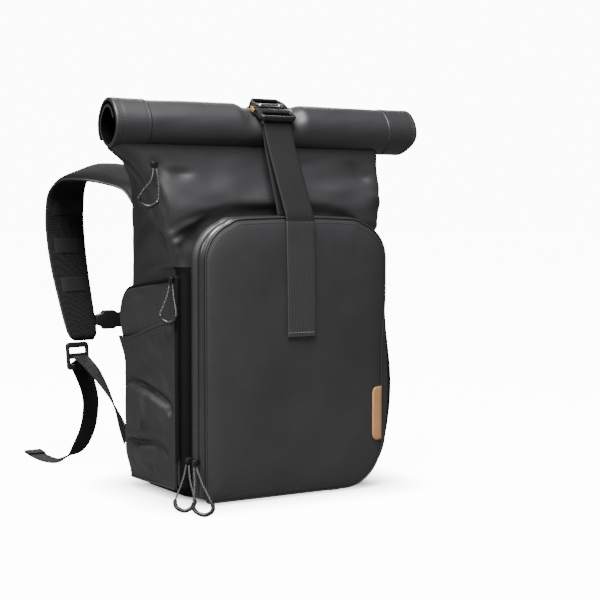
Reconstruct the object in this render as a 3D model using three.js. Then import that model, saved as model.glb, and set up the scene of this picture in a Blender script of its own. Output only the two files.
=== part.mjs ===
// Camera backpack with a rolled top, millimetres, +Z up.
// The viewer's right is +X, the front pocket looks along -Y, the shoulder straps are at +Y.
// The origin is the middle of the base, on the floor.
import * as THREE from "three";

// Clearance between pieces that touch
const GAP = 0.3;

// Body
const BODY_HALF_WIDTH = 128;
const BODY_FRONT = 55;
const BODY_BACK = 90;
const BODY_WALL = 4;
const FRONT_CORNER = 12;
const BACK_CORNER = 20;
const LOW_CORNER = 16;
const BOTTOM_EDGE = 9;
const SHOULDER_Z = 262;

// Base panel and foot
const BASE_THICKNESS = 5;
const BASE_INSET = 14;
const BASE_CORNER = 18;
const FOOT_X = 57;
const FOOT_WIDTH = 16;
const FOOT_DEPTH = 10;
const FOOT_SETBACK = 6;

// Roll
const ROLL_HALF_LENGTH = 205;
const ROLL_RADIUS = 28;
const ROLL_Y = -25;
const ROLL_Z = 430;
const ROLL_WALL = 3.4;
const ROLL_CREASE = 3;
const ROLL_DENT = 7;
const ROLL_END_CUT = 14;
const ROLL_PITCH = 5;
const ROLL_TURNS = 1.55;
const ROLL_START_DEG = -40;
const ROLL_SEAM_DEG = 70;
const BAND_WIDTH = 43;
const BAND_EXTRA = 0.5;

// Neck: from the shoulder to the mouth under the roll
const MOUTH_RADIUS = ROLL_RADIUS - 0.4 * ROLL_CREASE + BAND_EXTRA + GAP;
const MOUTH_Z = ROLL_Z - MOUTH_RADIUS;
const MOUTH_HALF_DEPTH = 20;
const MOUTH_SETBACK = 3;
const NECK_PUFF = 10;
const NECK_FOLD = 22;
const SEAM_HALF_WIDTH = 5;
const MOUTH_FLARE = ROLL_HALF_LENGTH - 2 - BODY_HALF_WIDTH;
const RIGHT_FLARE_LIMIT = 0.36;

// Front pocket
const DOOR_HALF_WIDTH = 121;
const DOOR_HEIGHT = 322;
const DOOR_DEPTH = 42;
const DOOR_CROWN = 9;
const DOOR_WALL = 3;
const DOOR_TOP_CORNER = 46;
const DOOR_LEFT_CORNER = 5;
const DOOR_RIGHT_CORNER = 54;
const DOOR_TOP_ARCH = 5;
const DOOR_TOP_FLARE = 5;
const DOOR_SIDE_SWELL = 19;
const DOOR_CLEAR_FLOOR = 1.6;
const DOOR_WALL_INSET = 4;

// Ribs round the front pocket's side
const RIB_HEIGHT = 4.2;
const REAR_RIB_FROM = 7;
const REAR_RIB_WIDTH = 14;
const FRONT_RIB_FROM = 25;
const FRONT_RIB_WIDTH = 11;
const RIB_CLEAR_FLOOR = 3;
const RIB_CLEARANCE = 0.4;

// Leather label
const LABEL_HEIGHT = 64;
const LABEL_WIDTH = 17;
const LABEL_THICKNESS = 1.6;
const LABEL_CORNER = 7;
const LABEL_Z = 58;
const LABEL_EDGE_INSET = 2;
const LABEL_CLEARANCE = 0.7;

// Side doors and side pockets
const SIDE_DOOR_FRONT = 50;
const SIDE_DOOR_BACK = 74;
const SIDE_DOOR_BOTTOM = 16;
const SIDE_DOOR_TOP = 258;
const SIDE_DOOR_SLOPE = 20;
const SIDE_DOOR_CORNER = 34;
const SIDE_DOOR_EDGE = 3;
const SIDE_DOOR_SWELL = 17;
const POCKET_MOUTH_FRONT = 205;
const POCKET_MOUTH_BACK = 181;
const POCKET_WALL = 2.4;
const POCKET_ROOM = 14;
const POCKET_SIDE_EDGE = 3;
const POCKET_TUCK = 15;
const POCKET_STEPS = 12;

// Back panel and grab handle
const BACK_PANEL_HALF_WIDTH = 100;
const BACK_PANEL_BOTTOM = 30;
const BACK_PANEL_TOP = 338;
const BACK_PANEL_THICKNESS = 9;
const BACK_PANEL_CORNER = 30;
const HANDLE_HALF_SPAN = 45;
const HANDLE_REACH = 24;
const HANDLE_Z = 322;
const HANDLE_WIDTH = 24;
const HANDLE_THICKNESS = 4;

// Webbing over the roll, to the buckle and down the front
const WEBBING_WIDTH = 38;
const WEBBING_THICKNESS = 1.8;
const TAIL_END_Z = 188;

// Buckle, tangent to the roll
const BUCKLE_ANGLE_DEG = 123;
const BUCKLE_HALF_WIDTH = 24;
const BUCKLE_HALF_LENGTH = 23;
const BUCKLE_THICKNESS = 6;
const BUCKLE_BAR = 5;
const BUCKLE_CHAMFER = 7;
const BUCKLE_SPLIT = 1;
const BUCKLE_SLOT = 7;
const RIVET_RADIUS = 2.4;
const RIVET_HEIGHT = 1.2;
const RIVET_SPREAD = 13;
const TAB_LENGTH = 9;
const TAB_WIDTH = 2.6;
const TAB_HEIGHT = 4.5;

// Shoulder straps
const STRAP_WIDTH = 58;
const STRAP_THICKNESS = 11;
const LOCK_WIDTH = 34;
const LOCK_LENGTH = 36;
const LOCK_THICKNESS = 5;
const LOCK_SLOT = 7;
const LOWER_WIDTH = 25;
const LOWER_THICKNESS = 1.6;
const TAB_THICKNESS = 2.4;
const STERNUM_WIDTH = 20;
const STERNUM_Z = 191;
const STERNUM_BUCKLE_LENGTH = 34;
const STERNUM_BUCKLE_HEIGHT = 25;
const STERNUM_BUCKLE_THICKNESS = 9;

// Zip pulls
const PULL_CORD = 2;
const SLEEVE_INNER = 1.7;
const SLEEVE_OUTER = 2.4;
const CORD_SIDES = 8;
const CORD_STEP = 6;

const FRONT = -1;
const DEG = Math.PI / 180;

function finish(color, roughness, metalness = 0) {
  return new THREE.MeshStandardMaterial({ color, roughness, metalness });
}
const cloth = () => finish(0x1d1d1f, 0.55);
const stretchCloth = () => finish(0x1a1a1c, 0.65);
const webbing = () => finish(0x101011, 0.8);
const mesh3d = () => finish(0x141415, 0.95);
const plastic = () => finish(0x0e0e0f, 0.45);
const metal = () => finish(0x161617, 0.35, 0.9);
const steel = () => finish(0xc8c8ca, 0.3, 1);
const brass = () => finish(0xc59a68, 0.4, 0.7);
const leather = () => finish(0xb98754, 0.6);
const cordFinish = () => finish(0x1a1a1a, 0.8);

const backpack = new THREE.Group();

function add(name, geometry, material) {
  const piece = new THREE.Mesh(geometry, material);
  piece.name = name;
  backpack.add(piece);
  return piece;
}

const mix = (a, b, t) => a + (b - a) * t;
const clamp01 = (t) => Math.min(1, Math.max(0, t));
const smooth = (t) => clamp01(t) ** 2 * (3 - 2 * clamp01(t));
const bell = (t) => (Math.abs(t) < 1 ? (1 - t * t) ** 2 : 0);
const vec = (x, y, z) => new THREE.Vector3(x, y, z);

// A closed body from vertices and triangles, turned so that its faces point out.
function closedBody(vertices, triangles) {
  let volume = 0;
  for (const [a, b, c] of triangles)
    volume += vertices[a].dot(vertices[b].clone().cross(vertices[c]));
  const turned = volume < 0 ? triangles.map(([a, b, c]) => [a, c, b]) : triangles;
  const geometry = new THREE.BufferGeometry();
  geometry.setAttribute(
    "position",
    new THREE.Float32BufferAttribute(vertices.flatMap((v) => [v.x, v.y, v.z]), 3),
  );
  geometry.setIndex(turned.flat());
  geometry.computeVertexNormals();
  return geometry;
}

// The triangles of a flat or nearly flat ring, seen along its own normal.
function capTriangles(ring) {
  const normal = vec(0, 0, 0);
  ring.forEach((p, i) => normal.add(p.clone().cross(ring[(i + 1) % ring.length])));
  const side = Math.abs(normal.z) > 0.9 * normal.length() ? vec(1, 0, 0) : vec(0, 0, 1);
  const across = side.cross(normal).normalize();
  const up = normal.clone().cross(across).normalize();
  const flat = ring.map((p) => new THREE.Vector2(p.dot(across), p.dot(up)));
  return THREE.ShapeUtils.triangulateShape(flat, []);
}

// A loft through rings of equal length, closed by a cap at each end.
function closedLoft(rings) {
  const count = rings[0].length;
  const triangles = [];
  for (let row = 0; row + 1 < rings.length; row++)
    for (let i = 0; i < count; i++) {
      const next = (i + 1) % count;
      const a = row * count + i;
      const b = row * count + next;
      triangles.push([a, b, b + count], [a, b + count, a + count]);
    }
  const last = (rings.length - 1) * count;
  for (const [a, b, c] of capTriangles(rings[0])) triangles.push([a, c, b]);
  for (const [a, b, c] of capTriangles(rings.at(-1))) triangles.push([last + a, last + b, last + c]);
  return closedBody(rings.flat(), triangles);
}

// A sheet with two faces, given as rows of outer and inner points, closed round its border.
function sheetBody(outer, inner) {
  const rows = outer.length;
  const columns = outer[0].length;
  const offset = rows * columns;
  const triangles = [];
  const at = (row, column) => row * columns + column;
  for (let row = 0; row + 1 < rows; row++)
    for (let column = 0; column + 1 < columns; column++) {
      const a = at(row, column);
      const b = at(row, column + 1);
      const c = at(row + 1, column + 1);
      const d = at(row + 1, column);
      triangles.push([a, b, c], [a, c, d]);
      triangles.push([a + offset, c + offset, b + offset], [a + offset, d + offset, c + offset]);
    }
  const border = [];
  for (let column = 0; column < columns; column++) border.push(at(0, column));
  for (let row = 1; row < rows; row++) border.push(at(row, columns - 1));
  for (let column = columns - 2; column >= 0; column--) border.push(at(rows - 1, column));
  for (let row = rows - 2; row > 0; row--) border.push(at(row, 0));
  border.forEach((a, i) => {
    const b = border[(i + 1) % border.length];
    triangles.push([a, b + offset, b], [a, a + offset, b + offset]);
  });
  return closedBody([...outer.flat(), ...inner.flat()], triangles);
}

// A flat strap of a given width and thickness through rows of centre and width direction.
function ribbon(rows, width, thickness, rounded = false) {
  const profile = rounded
    ? [[-0.5, 0.1], [-0.42, 0.42], [-0.2, 0.5], [0.2, 0.5], [0.42, 0.42], [0.5, 0.1], [0.42, -0.5], [-0.42, -0.5]]
    : [[-0.5, 0.5], [0.5, 0.5], [0.5, -0.5], [-0.5, -0.5]];
  const rings = rows.map(({ at, across, narrow = 1 }, i) => {
    const before = rows[Math.max(0, i - 1)].at;
    const after = rows[Math.min(rows.length - 1, i + 1)].at;
    const along = after.clone().sub(before).normalize();
    const side = across.clone().addScaledVector(along, -across.dot(along)).normalize();
    const out = side.clone().cross(along);
    return profile.map(([u, v]) =>
      at.clone().addScaledVector(side, u * width * narrow).addScaledVector(out, v * thickness),
    );
  });
  return rings;
}

// Rows between the given ones, on a smooth curve through them.
function refined(rows, times) {
  const curve = new THREE.CatmullRomCurve3(rows.map((row) => row.at));
  const count = (rows.length - 1) * times;
  return Array.from({ length: count + 1 }, (_, i) => {
    const low = rows[Math.min(rows.length - 2, Math.floor(i / times))];
    const high = rows[Math.min(rows.length - 1, Math.floor(i / times) + 1)];
    const t = i === count ? 1 : (i % times) / times;
    return {
      at: curve.getPoint(i / count),
      across: low.across.clone().lerp(high.across, t),
      narrow: mix(low.narrow ?? 1, high.narrow ?? 1, t),
    };
  });
}

// The same rings on the other side of the bag when the side is the right one.
const onSide = (rings, side) =>
  rings.map((ring) => ring.map((p) => vec(side < 0 ? p.x : -p.x, p.y, p.z)));

// An outline in a plane, extruded: points are [across, up].
function plate(outline, thickness, holes = []) {
  const shape = new THREE.Shape(outline.map(([x, y]) => new THREE.Vector2(x, y)));
  for (const hole of holes)
    shape.holes.push(new THREE.Path(hole.map(([x, y]) => new THREE.Vector2(x, y))));
  return new THREE.ExtrudeGeometry(shape, { depth: thickness, bevelEnabled: false });
}

const rectangle = (x0, y0, x1, y1) => [[x0, y0], [x1, y0], [x1, y1], [x0, y1]];

// Body and neck.
// Shares in the tables: rise from the base to the shoulder, or from the shoulder to the mouth;
// flares from the body's half width to the mouth's; lean of the back wall towards the mouth.
const BODY_ROWS = [
  { rise: 0, edge: 1, tuck: 1 },
  { rise: 0.012, edge: 0.35, tuck: 0.9 },
  { rise: 0.035, edge: 0, tuck: 0.75 },
  { rise: 0.12, edge: 0, tuck: 0.35 },
  { rise: 0.27, edge: 0, tuck: 0 },
  { rise: 0.65, edge: 0, tuck: 0 },
  { rise: 0.92, edge: 0, tuck: 0 },
];
const NECK_ROWS = [
  { rise: 0.0, front: 0.0, seam: 0.0, seamBack: 0.0, back: 0.0, lean: 0.0, puff: 0.0, fold: 0.0 },
  { rise: 0.16, front: 0.12, seam: 0.09, seamBack: 0.55, back: 0.0, lean: 0.0, puff: 0.0, fold: 0.12 },
  { rise: 0.34, front: 0.24, seam: 0.2, seamBack: 0.8, back: 0.0, lean: 0.0, puff: 0.0, fold: 0.2 },
  { rise: 0.475, front: 0.32, seam: 0.29, seamBack: 0.95, back: 0.0, lean: 0.0, puff: 0.0, fold: 0.25 },
  { rise: 0.54, front: 0.32, seam: 0.33, seamBack: 1.0, back: 0.0, lean: 0.01, puff: 0.8, fold: 0.28 },
  { rise: 0.64, front: 0.33, seam: 0.4, seamBack: 1.0, back: 0.05, lean: 0.06, puff: 1.0, fold: 0.38 },
  { rise: 0.74, front: 0.38, seam: 0.49, seamBack: 1.0, back: 0.2, lean: 0.29, puff: 0.8, fold: 0.5 },
  { rise: 0.86, front: 0.54, seam: 0.68, seamBack: 1.0, back: 0.52, lean: 0.62, puff: 0.3, fold: 0.75 },
  { rise: 0.95, front: 0.8, seam: 0.88, seamBack: 1.0, back: 0.8, lean: 0.88, puff: 0.0, fold: 0.95 },
  { rise: 1.0, front: 0.95, seam: 1.0, seamBack: 1.0, back: 0.95, lean: 1.0, puff: 0.0, fold: 1.0 },
];
// Dents of the neck's front: across as a share of the half width there, rise as in the neck's table.
const NECK_DENTS = [
  { across: -0.8, rise: 0.83, width: 0.22, height: 0.1, depth: 5 },
  { across: 0.78, rise: 0.83, width: 0.24, height: 0.12, depth: 5 },
  { across: -0.86, rise: 0.3, width: 0.12, height: 0.14, depth: 4 },
  { across: 0.86, rise: 0.3, width: 0.12, height: 0.14, depth: 4 },
];
const MOUTH_FRONT_Y = ROLL_Y - MOUTH_HALF_DEPTH + MOUTH_SETBACK;
const MOUTH_BACK_Y = ROLL_Y + MOUTH_HALF_DEPTH + MOUTH_SETBACK;

function bodyRow({ rise, edge, tuck }) {
  const inset = edge * BOTTOM_EDGE;
  return {
    z: mix(BASE_THICKNESS + GAP, SHOULDER_Z, rise),
    halfWidth: BODY_HALF_WIDTH - inset,
    front: 0,
    frontY: FRONT * BODY_FRONT + inset,
    seam: 0,
    seamY: FRONT * BODY_FRONT + FRONT_CORNER + inset,
    seamHalf: 1,
    fold: 0,
    back: 0,
    backY: BODY_BACK - inset,
    round: BACK_CORNER + tuck * LOW_CORNER,
    rise: -1,
  };
}

function neckRow(row) {
  return {
    z: mix(SHOULDER_Z, MOUTH_Z, row.rise),
    halfWidth: BODY_HALF_WIDTH,
    front: row.front,
    frontY: mix(FRONT * BODY_FRONT, MOUTH_FRONT_Y, smooth((row.rise - 0.6) / 0.4)) - row.puff * NECK_PUFF,
    seam: row.seam,
    seamY: mix(FRONT * BODY_FRONT + FRONT_CORNER, ROLL_Y, row.seamBack),
    seamHalf: mix(1, SEAM_HALF_WIDTH, clamp01(row.rise * 3)),
    fold: row.fold * NECK_FOLD,
    back: row.back,
    backY: mix(BODY_BACK, MOUTH_BACK_Y, row.lean),
    round: BACK_CORNER,
    rise: row.rise,
  };
}

const bodyRows = [...BODY_ROWS.map(bodyRow), ...NECK_ROWS.map(neckRow)];

function dentAt(share, rise) {
  let depth = 0;
  for (const dent of NECK_DENTS)
    depth +=
      dent.depth * bell((share - dent.across) / dent.width) * bell((rise - dent.rise) / dent.height);
  return depth;
}

// Half of a row's ring, inset by a wall, from the middle of the front to the middle of the back.
// The right side flares less than the left one.
function bodyHalf(row, wall, side) {
  const limit = side > 0 ? RIGHT_FLARE_LIMIT : 1;
  const reach = (share) => row.halfWidth + Math.min(share, limit) * MOUTH_FLARE;
  const front = reach(row.front) - wall;
  const frontY = row.frontY + wall;
  const corner = FRONT_CORNER - wall / 2;
  const seam = reach(row.seam) - wall * 1.3;
  const back = reach(row.back) - wall;
  const backY = row.backY - wall;
  const round = Math.min(row.round, (backY - row.seamY) * 0.45);
  const half = [];
  for (const share of [0, 0.35, 0.68, 0.88]) half.push([share * (front - corner), frontY]);
  const seamFront = row.seamY - row.seamHalf;
  for (const t of [0, 0.35, 0.7, 1]) {
    const u = 1 - t;
    half.push([
      u * u * (front - corner) + 2 * u * t * front + t * t * seam,
      u * u * frontY + 2 * u * t * frontY + t * t * seamFront,
    ]);
  }
  half.push([seam - row.fold, row.seamY]);
  for (const t of [0, 0.45, 0.9])
    half.push([mix(seam, back, t), mix(row.seamY + row.seamHalf, backY - round, t)]);
  for (const t of [0.15, 0.5, 0.85]) {
    const u = 1 - t;
    half.push([
      u * u * back + 2 * u * t * back + t * t * (back - round),
      u * u * (backY - round) + 2 * u * t * backY + t * t * backY,
    ]);
  }
  half.push([0.5 * (back - round), backY], [0, backY]);
  return half.map(([x, y], i) =>
    vec(side * x, y + (i < 6 ? dentAt((side * x) / front, row.rise) : 0), row.z),
  );
}

// The whole ring of a row. The last row's rim follows the underside of the roll.
function bodyRing(row, wall) {
  const ring = [...bodyHalf(row, wall, 1), ...bodyHalf(row, wall, -1).slice(1, -1).reverse()];
  if (row.rise === 1)
    for (const p of ring) p.z = ROLL_Z - Math.sqrt(MOUTH_RADIUS ** 2 - (p.y - ROLL_Y) ** 2);
  return ring;
}

function bodyShell() {
  const outer = bodyRows.map((row) => bodyRing(row, 0));
  const inside = bodyRows.slice(2).map((row) => bodyRing(row, BODY_WALL));
  inside[0].forEach((p) => (p.z = BASE_THICKNESS + GAP + BODY_WALL));
  return closedLoft([...outer, ...inside.reverse()]);
}
add("body_shell", bodyShell(), cloth());

// The outer face of the body's back and front on the middle line, at a height.
function middleY(z, key) {
  const above = bodyRows.findIndex((row) => row.z >= z);
  if (above <= 0) return bodyRows.at(above)[key];
  const low = bodyRows[above - 1];
  const high = bodyRows[above];
  return mix(low[key], high[key], (z - low.z) / (high.z - low.z));
}

// Base panel and foot
function roundedRectangle(x0, y0, x1, y1, radius, steps = 4) {
  const corners = [
    [x1 - radius, y0 + radius, -90],
    [x1 - radius, y1 - radius, 0],
    [x0 + radius, y1 - radius, 90],
    [x0 + radius, y0 + radius, 180],
  ];
  return corners.flatMap(([x, y, from]) =>
    Array.from({ length: steps + 1 }, (_, i) => {
      const angle = (from + (90 * i) / steps) * DEG;
      return [x + radius * Math.cos(angle), y + radius * Math.sin(angle)];
    }),
  );
}

function basePanel() {
  const reach = BODY_HALF_WIDTH - BASE_INSET;
  const outline = roundedRectangle(
    -reach, FRONT * BODY_FRONT + BASE_INSET / 2, reach, BODY_BACK - BASE_INSET, BASE_CORNER,
  );
  return plate(outline, BASE_THICKNESS);
}
add("base_panel", basePanel(), webbing());

function baseFoot() {
  const nearDoor = FRONT * (BODY_FRONT + DOOR_DEPTH - FOOT_SETBACK);
  const outline = roundedRectangle(
    FOOT_X - FOOT_WIDTH / 2, nearDoor, FOOT_X + FOOT_WIDTH / 2, nearDoor + FOOT_DEPTH, 3, 2,
  );
  return plate(outline, DOOR_CLEAR_FLOOR + DOOR_WALL_INSET - GAP);
}
add("base_foot", baseFoot(), plastic());

// Front pocket: its outline runs from the bottom left up, over the top and down the right.
// Steps says how many points each stretch has.
const DOOR_STEPS = { side: 7, top: 6, corner: 5, bottom: 4, leftCorner: 2 };

function doorOutline(inset, swell = 0) {
  const low = DOOR_CLEAR_FLOOR + inset;
  const high = DOOR_HEIGHT - inset;
  const half = DOOR_HALF_WIDTH - inset;
  const topRound = DOOR_TOP_CORNER - inset;
  const leftRound = Math.max(1, DOOR_LEFT_CORNER - inset);
  const rightRound = DOOR_RIGHT_CORNER - inset;
  const flare = (z) => DOOR_TOP_FLARE * smooth((z / DOOR_HEIGHT - 0.5) / 0.25);
  const swollen = (z) => swell * DOOR_SIDE_SWELL * bell((z / DOOR_HEIGHT - 0.38) / 0.42);
  const points = [];
  const line = (x0, z0, x1, z1, steps) => {
    for (let i = 0; i < steps; i++) points.push([mix(x0, x1, i / steps), mix(z0, z1, i / steps)]);
  };
  const arc = (x, z, radius, from, to, steps) => {
    for (let i = 0; i < steps; i++) {
      const angle = mix(from, to, i / steps) * DEG;
      points.push([x + radius * Math.cos(angle), z + radius * Math.sin(angle)]);
    }
  };
  line(-half, low + leftRound, -half, high - topRound, DOOR_STEPS.side);
  arc(-half + topRound, high - topRound, topRound, 180, 90, DOOR_STEPS.corner);
  line(-half + topRound, high, half - topRound, high, DOOR_STEPS.top);
  arc(half - topRound, high - topRound, topRound, 90, 0, DOOR_STEPS.corner);
  line(half, high - topRound, half, low + rightRound, DOOR_STEPS.side);
  arc(half - rightRound, low + rightRound, rightRound, 0, -90, DOOR_STEPS.corner);
  line(half - rightRound, low, -half + leftRound, low, DOOR_STEPS.bottom);
  arc(-half + leftRound, low + leftRound, leftRound, 270, 180, DOOR_STEPS.leftCorner);
  return points.map(([x, z]) => {
    const arch = z > high - 1 ? DOOR_TOP_ARCH * (1 - (x / half) ** 2) : 0;
    return [x > 0 ? x + (flare(z) + swollen(z)) * clamp01((x / half) * 2 - 0.9) : x, z + arch];
  });
}

// Sections from the open rim to the face: depth as a share of the pocket's, inset, swell.
const DOOR_SECTIONS = [
  { depth: 0, inset: 2, swell: 0.4 },
  { depth: 0.16, inset: 1, swell: 1.0 },
  { depth: 0.5, inset: 1, swell: 1.0 },
  { depth: 0.86, inset: 1, swell: 1.0 },
  { depth: 0.96, inset: 0.4, swell: 0.5 },
  { depth: 1.0, inset: 0.2, swell: 0.0 },
];
// Rings of the crowned face: size as a share of the outline, rise as a share of the crown.
const DOOR_FACE = [
  { size: 0.94, rise: 0.42 },
  { size: 0.78, rise: 0.8 },
  { size: 0.42, rise: 1.0 },
];
const DOOR_MIDDLE_Z = DOOR_HEIGHT / 2;

function doorRing(section, wall) {
  const y = FRONT * (BODY_FRONT + GAP + section.depth * (DOOR_DEPTH - wall));
  return doorOutline(section.inset * DOOR_WALL_INSET + wall, section.swell).map(([x, z]) => vec(x, y, z));
}

function doorFaceRing({ size, rise }, wall) {
  const y = FRONT * (BODY_FRONT + GAP + DOOR_DEPTH - wall + rise * DOOR_CROWN);
  return doorOutline(wall).map(([x, z]) => vec(x * size, y, mix(DOOR_MIDDLE_Z, z, size)));
}

function frontDoor() {
  const outer = [
    ...DOOR_SECTIONS.map((section) => doorRing(section, 0)),
    ...DOOR_FACE.map((ring) => doorFaceRing(ring, 0)),
  ];
  const inner = [
    ...DOOR_SECTIONS.slice(0, 4).map((section) => doorRing(section, DOOR_WALL)),
    ...DOOR_FACE.map((ring) => doorFaceRing(ring, DOOR_WALL)),
  ];
  return closedLoft([...inner.reverse(), ...outer]);
}
add("front_door", frontDoor(), cloth());

// How far out a point of the face lies: 0 at the middle, 1 on the outline.
function doorShare(x, z) {
  const outline = doorOutline(0);
  const up = z - DOOR_MIDDLE_Z;
  for (let i = 0; i < outline.length; i++) {
    const [ax, az] = outline[i];
    const [bx, bz] = outline[(i + 1) % outline.length];
    const [dx, dz] = [bx - ax, bz - az];
    const turn = x * dz - up * dx;
    const reach = (ax * dz - (az - DOOR_MIDDLE_Z) * dx) / turn;
    const along = (ax * up - (az - DOOR_MIDDLE_Z) * x) / turn;
    if (reach > 0 && along >= 0 && along <= 1) return 1 / reach;
  }
  return 0;
}

// How far the face stands before the origin at a point.
function doorFaceDepth(x, z) {
  const share = doorShare(x, z);
  const rings = [{ size: 1, rise: 0 }, ...DOOR_FACE, { size: 0, rise: 1 }];
  const inside = Math.max(1, rings.findIndex((ring) => ring.size <= share));
  const wide = rings[inside - 1];
  const tight = rings[inside];
  const rise = mix(wide.rise, tight.rise, clamp01((wide.size - share) / (wide.size - tight.size)));
  return BODY_FRONT + GAP + DOOR_DEPTH + rise * DOOR_CROWN;
}

// A rib round the pocket's side, from the bottom left over the top to the bottom right.
function rib(from, width) {
  const depthAt = (share) => (from + width * share) / DOOR_DEPTH;
  const wallSwell = (depth) => {
    const above = DOOR_SECTIONS.findIndex((section) => section.depth >= depth);
    const low = DOOR_SECTIONS[above - 1];
    const high = DOOR_SECTIONS[above];
    const t = (depth - low.depth) / (high.depth - low.depth);
    return { swell: mix(low.swell, high.swell, t), inset: mix(low.inset, high.inset, t) };
  };
  const stations = [
    { share: 0, lift: 0 },
    { share: 0.18, lift: 0.75 },
    { share: 0.5, lift: 1 },
    { share: 0.82, lift: 0.75 },
    { share: 1, lift: 0 },
  ];
  const lines = stations.map(({ share, lift }) => {
    const wall = wallSwell(depthAt(share));
    const inset = wall.inset * DOOR_WALL_INSET - RIB_CLEARANCE - lift * RIB_HEIGHT;
    const y = FRONT * (BODY_FRONT + GAP + from + width * share);
    return doorOutline(inset, wall.swell).map(([x, z]) => vec(x, y, z));
  });
  const length = 2 * DOOR_STEPS.side + DOOR_STEPS.top + 3 * DOOR_STEPS.corner;
  const rings = [];
  for (let i = 0; i < length - 1; i++) rings.push(lines.map((line) => line[i]));
  rings[0].forEach((p) => (p.z = Math.max(p.z, RIB_CLEAR_FLOOR)));
  return closedLoft(rings);
}
add("door_rib_rear", rib(REAR_RIB_FROM, REAR_RIB_WIDTH), cloth());
add("door_rib_front", rib(FRONT_RIB_FROM, FRONT_RIB_WIDTH), cloth());

// Leather label on the face's right edge, rounded at its inner corners. Its columns are shares of
// its width from the inner edge; trim is how much of the corner each column loses.
const LABEL_COLUMNS = [
  { share: 0, trim: 1 },
  { share: 0.12, trim: 0.45 },
  { share: 0.4, trim: 0.05 },
  { share: 0.67, trim: 0 },
  { share: 0.72, trim: 0 },
  { share: 1, trim: 0 },
];
const LABEL_ROWS = 6;
function leatherLabel() {
  const right = DOOR_HALF_WIDTH - LABEL_EDGE_INSET;
  const layer = (height) =>
    Array.from({ length: LABEL_ROWS + 1 }, (_, row) =>
      LABEL_COLUMNS.map(({ share, trim }) => {
        const x = right - LABEL_WIDTH * (1 - share);
        const z = mix(LABEL_Z + trim * LABEL_CORNER, LABEL_Z + LABEL_HEIGHT - trim * LABEL_CORNER, row / LABEL_ROWS);
        return vec(x, FRONT * (doorFaceDepth(x, z) + LABEL_CLEARANCE + height), z);
      }),
    );
  return sheetBody(layer(LABEL_THICKNESS), layer(0));
}
add("leather_label", leatherLabel(), leather());

// Side doors: a padded panel that stands proud towards the back
function sideDoorLift(y, z) {
  const back = smooth((y + SIDE_DOOR_FRONT) / (SIDE_DOOR_BACK + SIDE_DOOR_FRONT));
  const underPocket = 1 - 0.75 * smooth((POCKET_MOUTH_BACK + 25 - z) / 60);
  return SIDE_DOOR_EDGE + SIDE_DOOR_SWELL * back * underPocket;
}

function sideDoorOutline(inset) {
  const front = FRONT * SIDE_DOOR_FRONT + inset;
  const back = SIDE_DOOR_BACK - inset;
  const low = SIDE_DOOR_BOTTOM + inset;
  const top = (y) =>
    SIDE_DOOR_TOP - inset - (SIDE_DOOR_SLOPE * (y + SIDE_DOOR_FRONT)) / (SIDE_DOOR_BACK + SIDE_DOOR_FRONT);
  const round = SIDE_DOOR_CORNER - inset / 2;
  const points = [[front, low]];
  for (const t of [0.35, 0.7, 1]) points.push([front, mix(low, top(front), t)]);
  for (const t of [0.35, 0.7]) points.push([mix(front, back - round, t), top(mix(front, back - round, t))]);
  for (const share of [0, 0.25, 0.5, 0.75, 1]) {
    const angle = (90 - 90 * share) * DEG;
    points.push([
      back - round + round * Math.cos(angle),
      top(back - round) - round + round * Math.sin(angle),
    ]);
  }
  for (const t of [0.3, 0.6]) points.push([back, mix(top(back - round) - round, low, t)]);
  for (const [y, z] of [[0, 24], [7, 8], [22, 0]]) points.push([back - y, low + z]);
  for (const t of [0.4, 0.7]) points.push([mix(back, front, t), low]);
  return points;
}
const SIDE_DOOR_RINGS = [
  { inset: 0, lift: 0 },
  { inset: 0, lift: 0.55 },
  { inset: 1.5, lift: 0.85 },
  { inset: 5, lift: 1 },
  { inset: 22, lift: 1.04 },
];

function sideDoor(side) {
  const rings = SIDE_DOOR_RINGS.map(({ inset, lift }) =>
    sideDoorOutline(inset).map(([y, z]) =>
      vec(side * (BODY_HALF_WIDTH + GAP + lift * sideDoorLift(y, z)), y, z),
    ),
  );
  return closedLoft(rings);
}

// Side pockets: a sheet of stretch cloth that stands off the door and is open at its top.
// Folds are crescents round a centre: places and radii as shares of the pocket's depth and height.
const POCKET_FOLDS = [
  { y: 0.56, z: 0.43, radius: 0.27, from: 5, to: 130, depth: 5 },
  { y: 0.52, z: 0.12, radius: 0.22, from: 0, to: 120, depth: 4 },
];
const POCKET_FRONT_Y = FRONT * SIDE_DOOR_FRONT + 1;
const POCKET_BACK_Y = SIDE_DOOR_BACK + 2;
const POCKET_BOTTOM_Z = 12;

function pocketFold(u, v) {
  let depth = 0;
  for (const fold of POCKET_FOLDS) {
    const along = (u - fold.y) * (POCKET_BACK_Y - POCKET_FRONT_Y);
    const up = (v - fold.z) * POCKET_MOUTH_BACK;
    const angle = Math.atan2(up, -along) / DEG;
    const off = Math.hypot(along, up) / POCKET_MOUTH_BACK - fold.radius;
    const middle = (fold.from + fold.to) / 2;
    const span = (fold.to - fold.from) / 2;
    depth += fold.depth * bell(off / 0.09) * bell((angle - middle) / (span * 1.3));
  }
  return depth;
}

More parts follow.
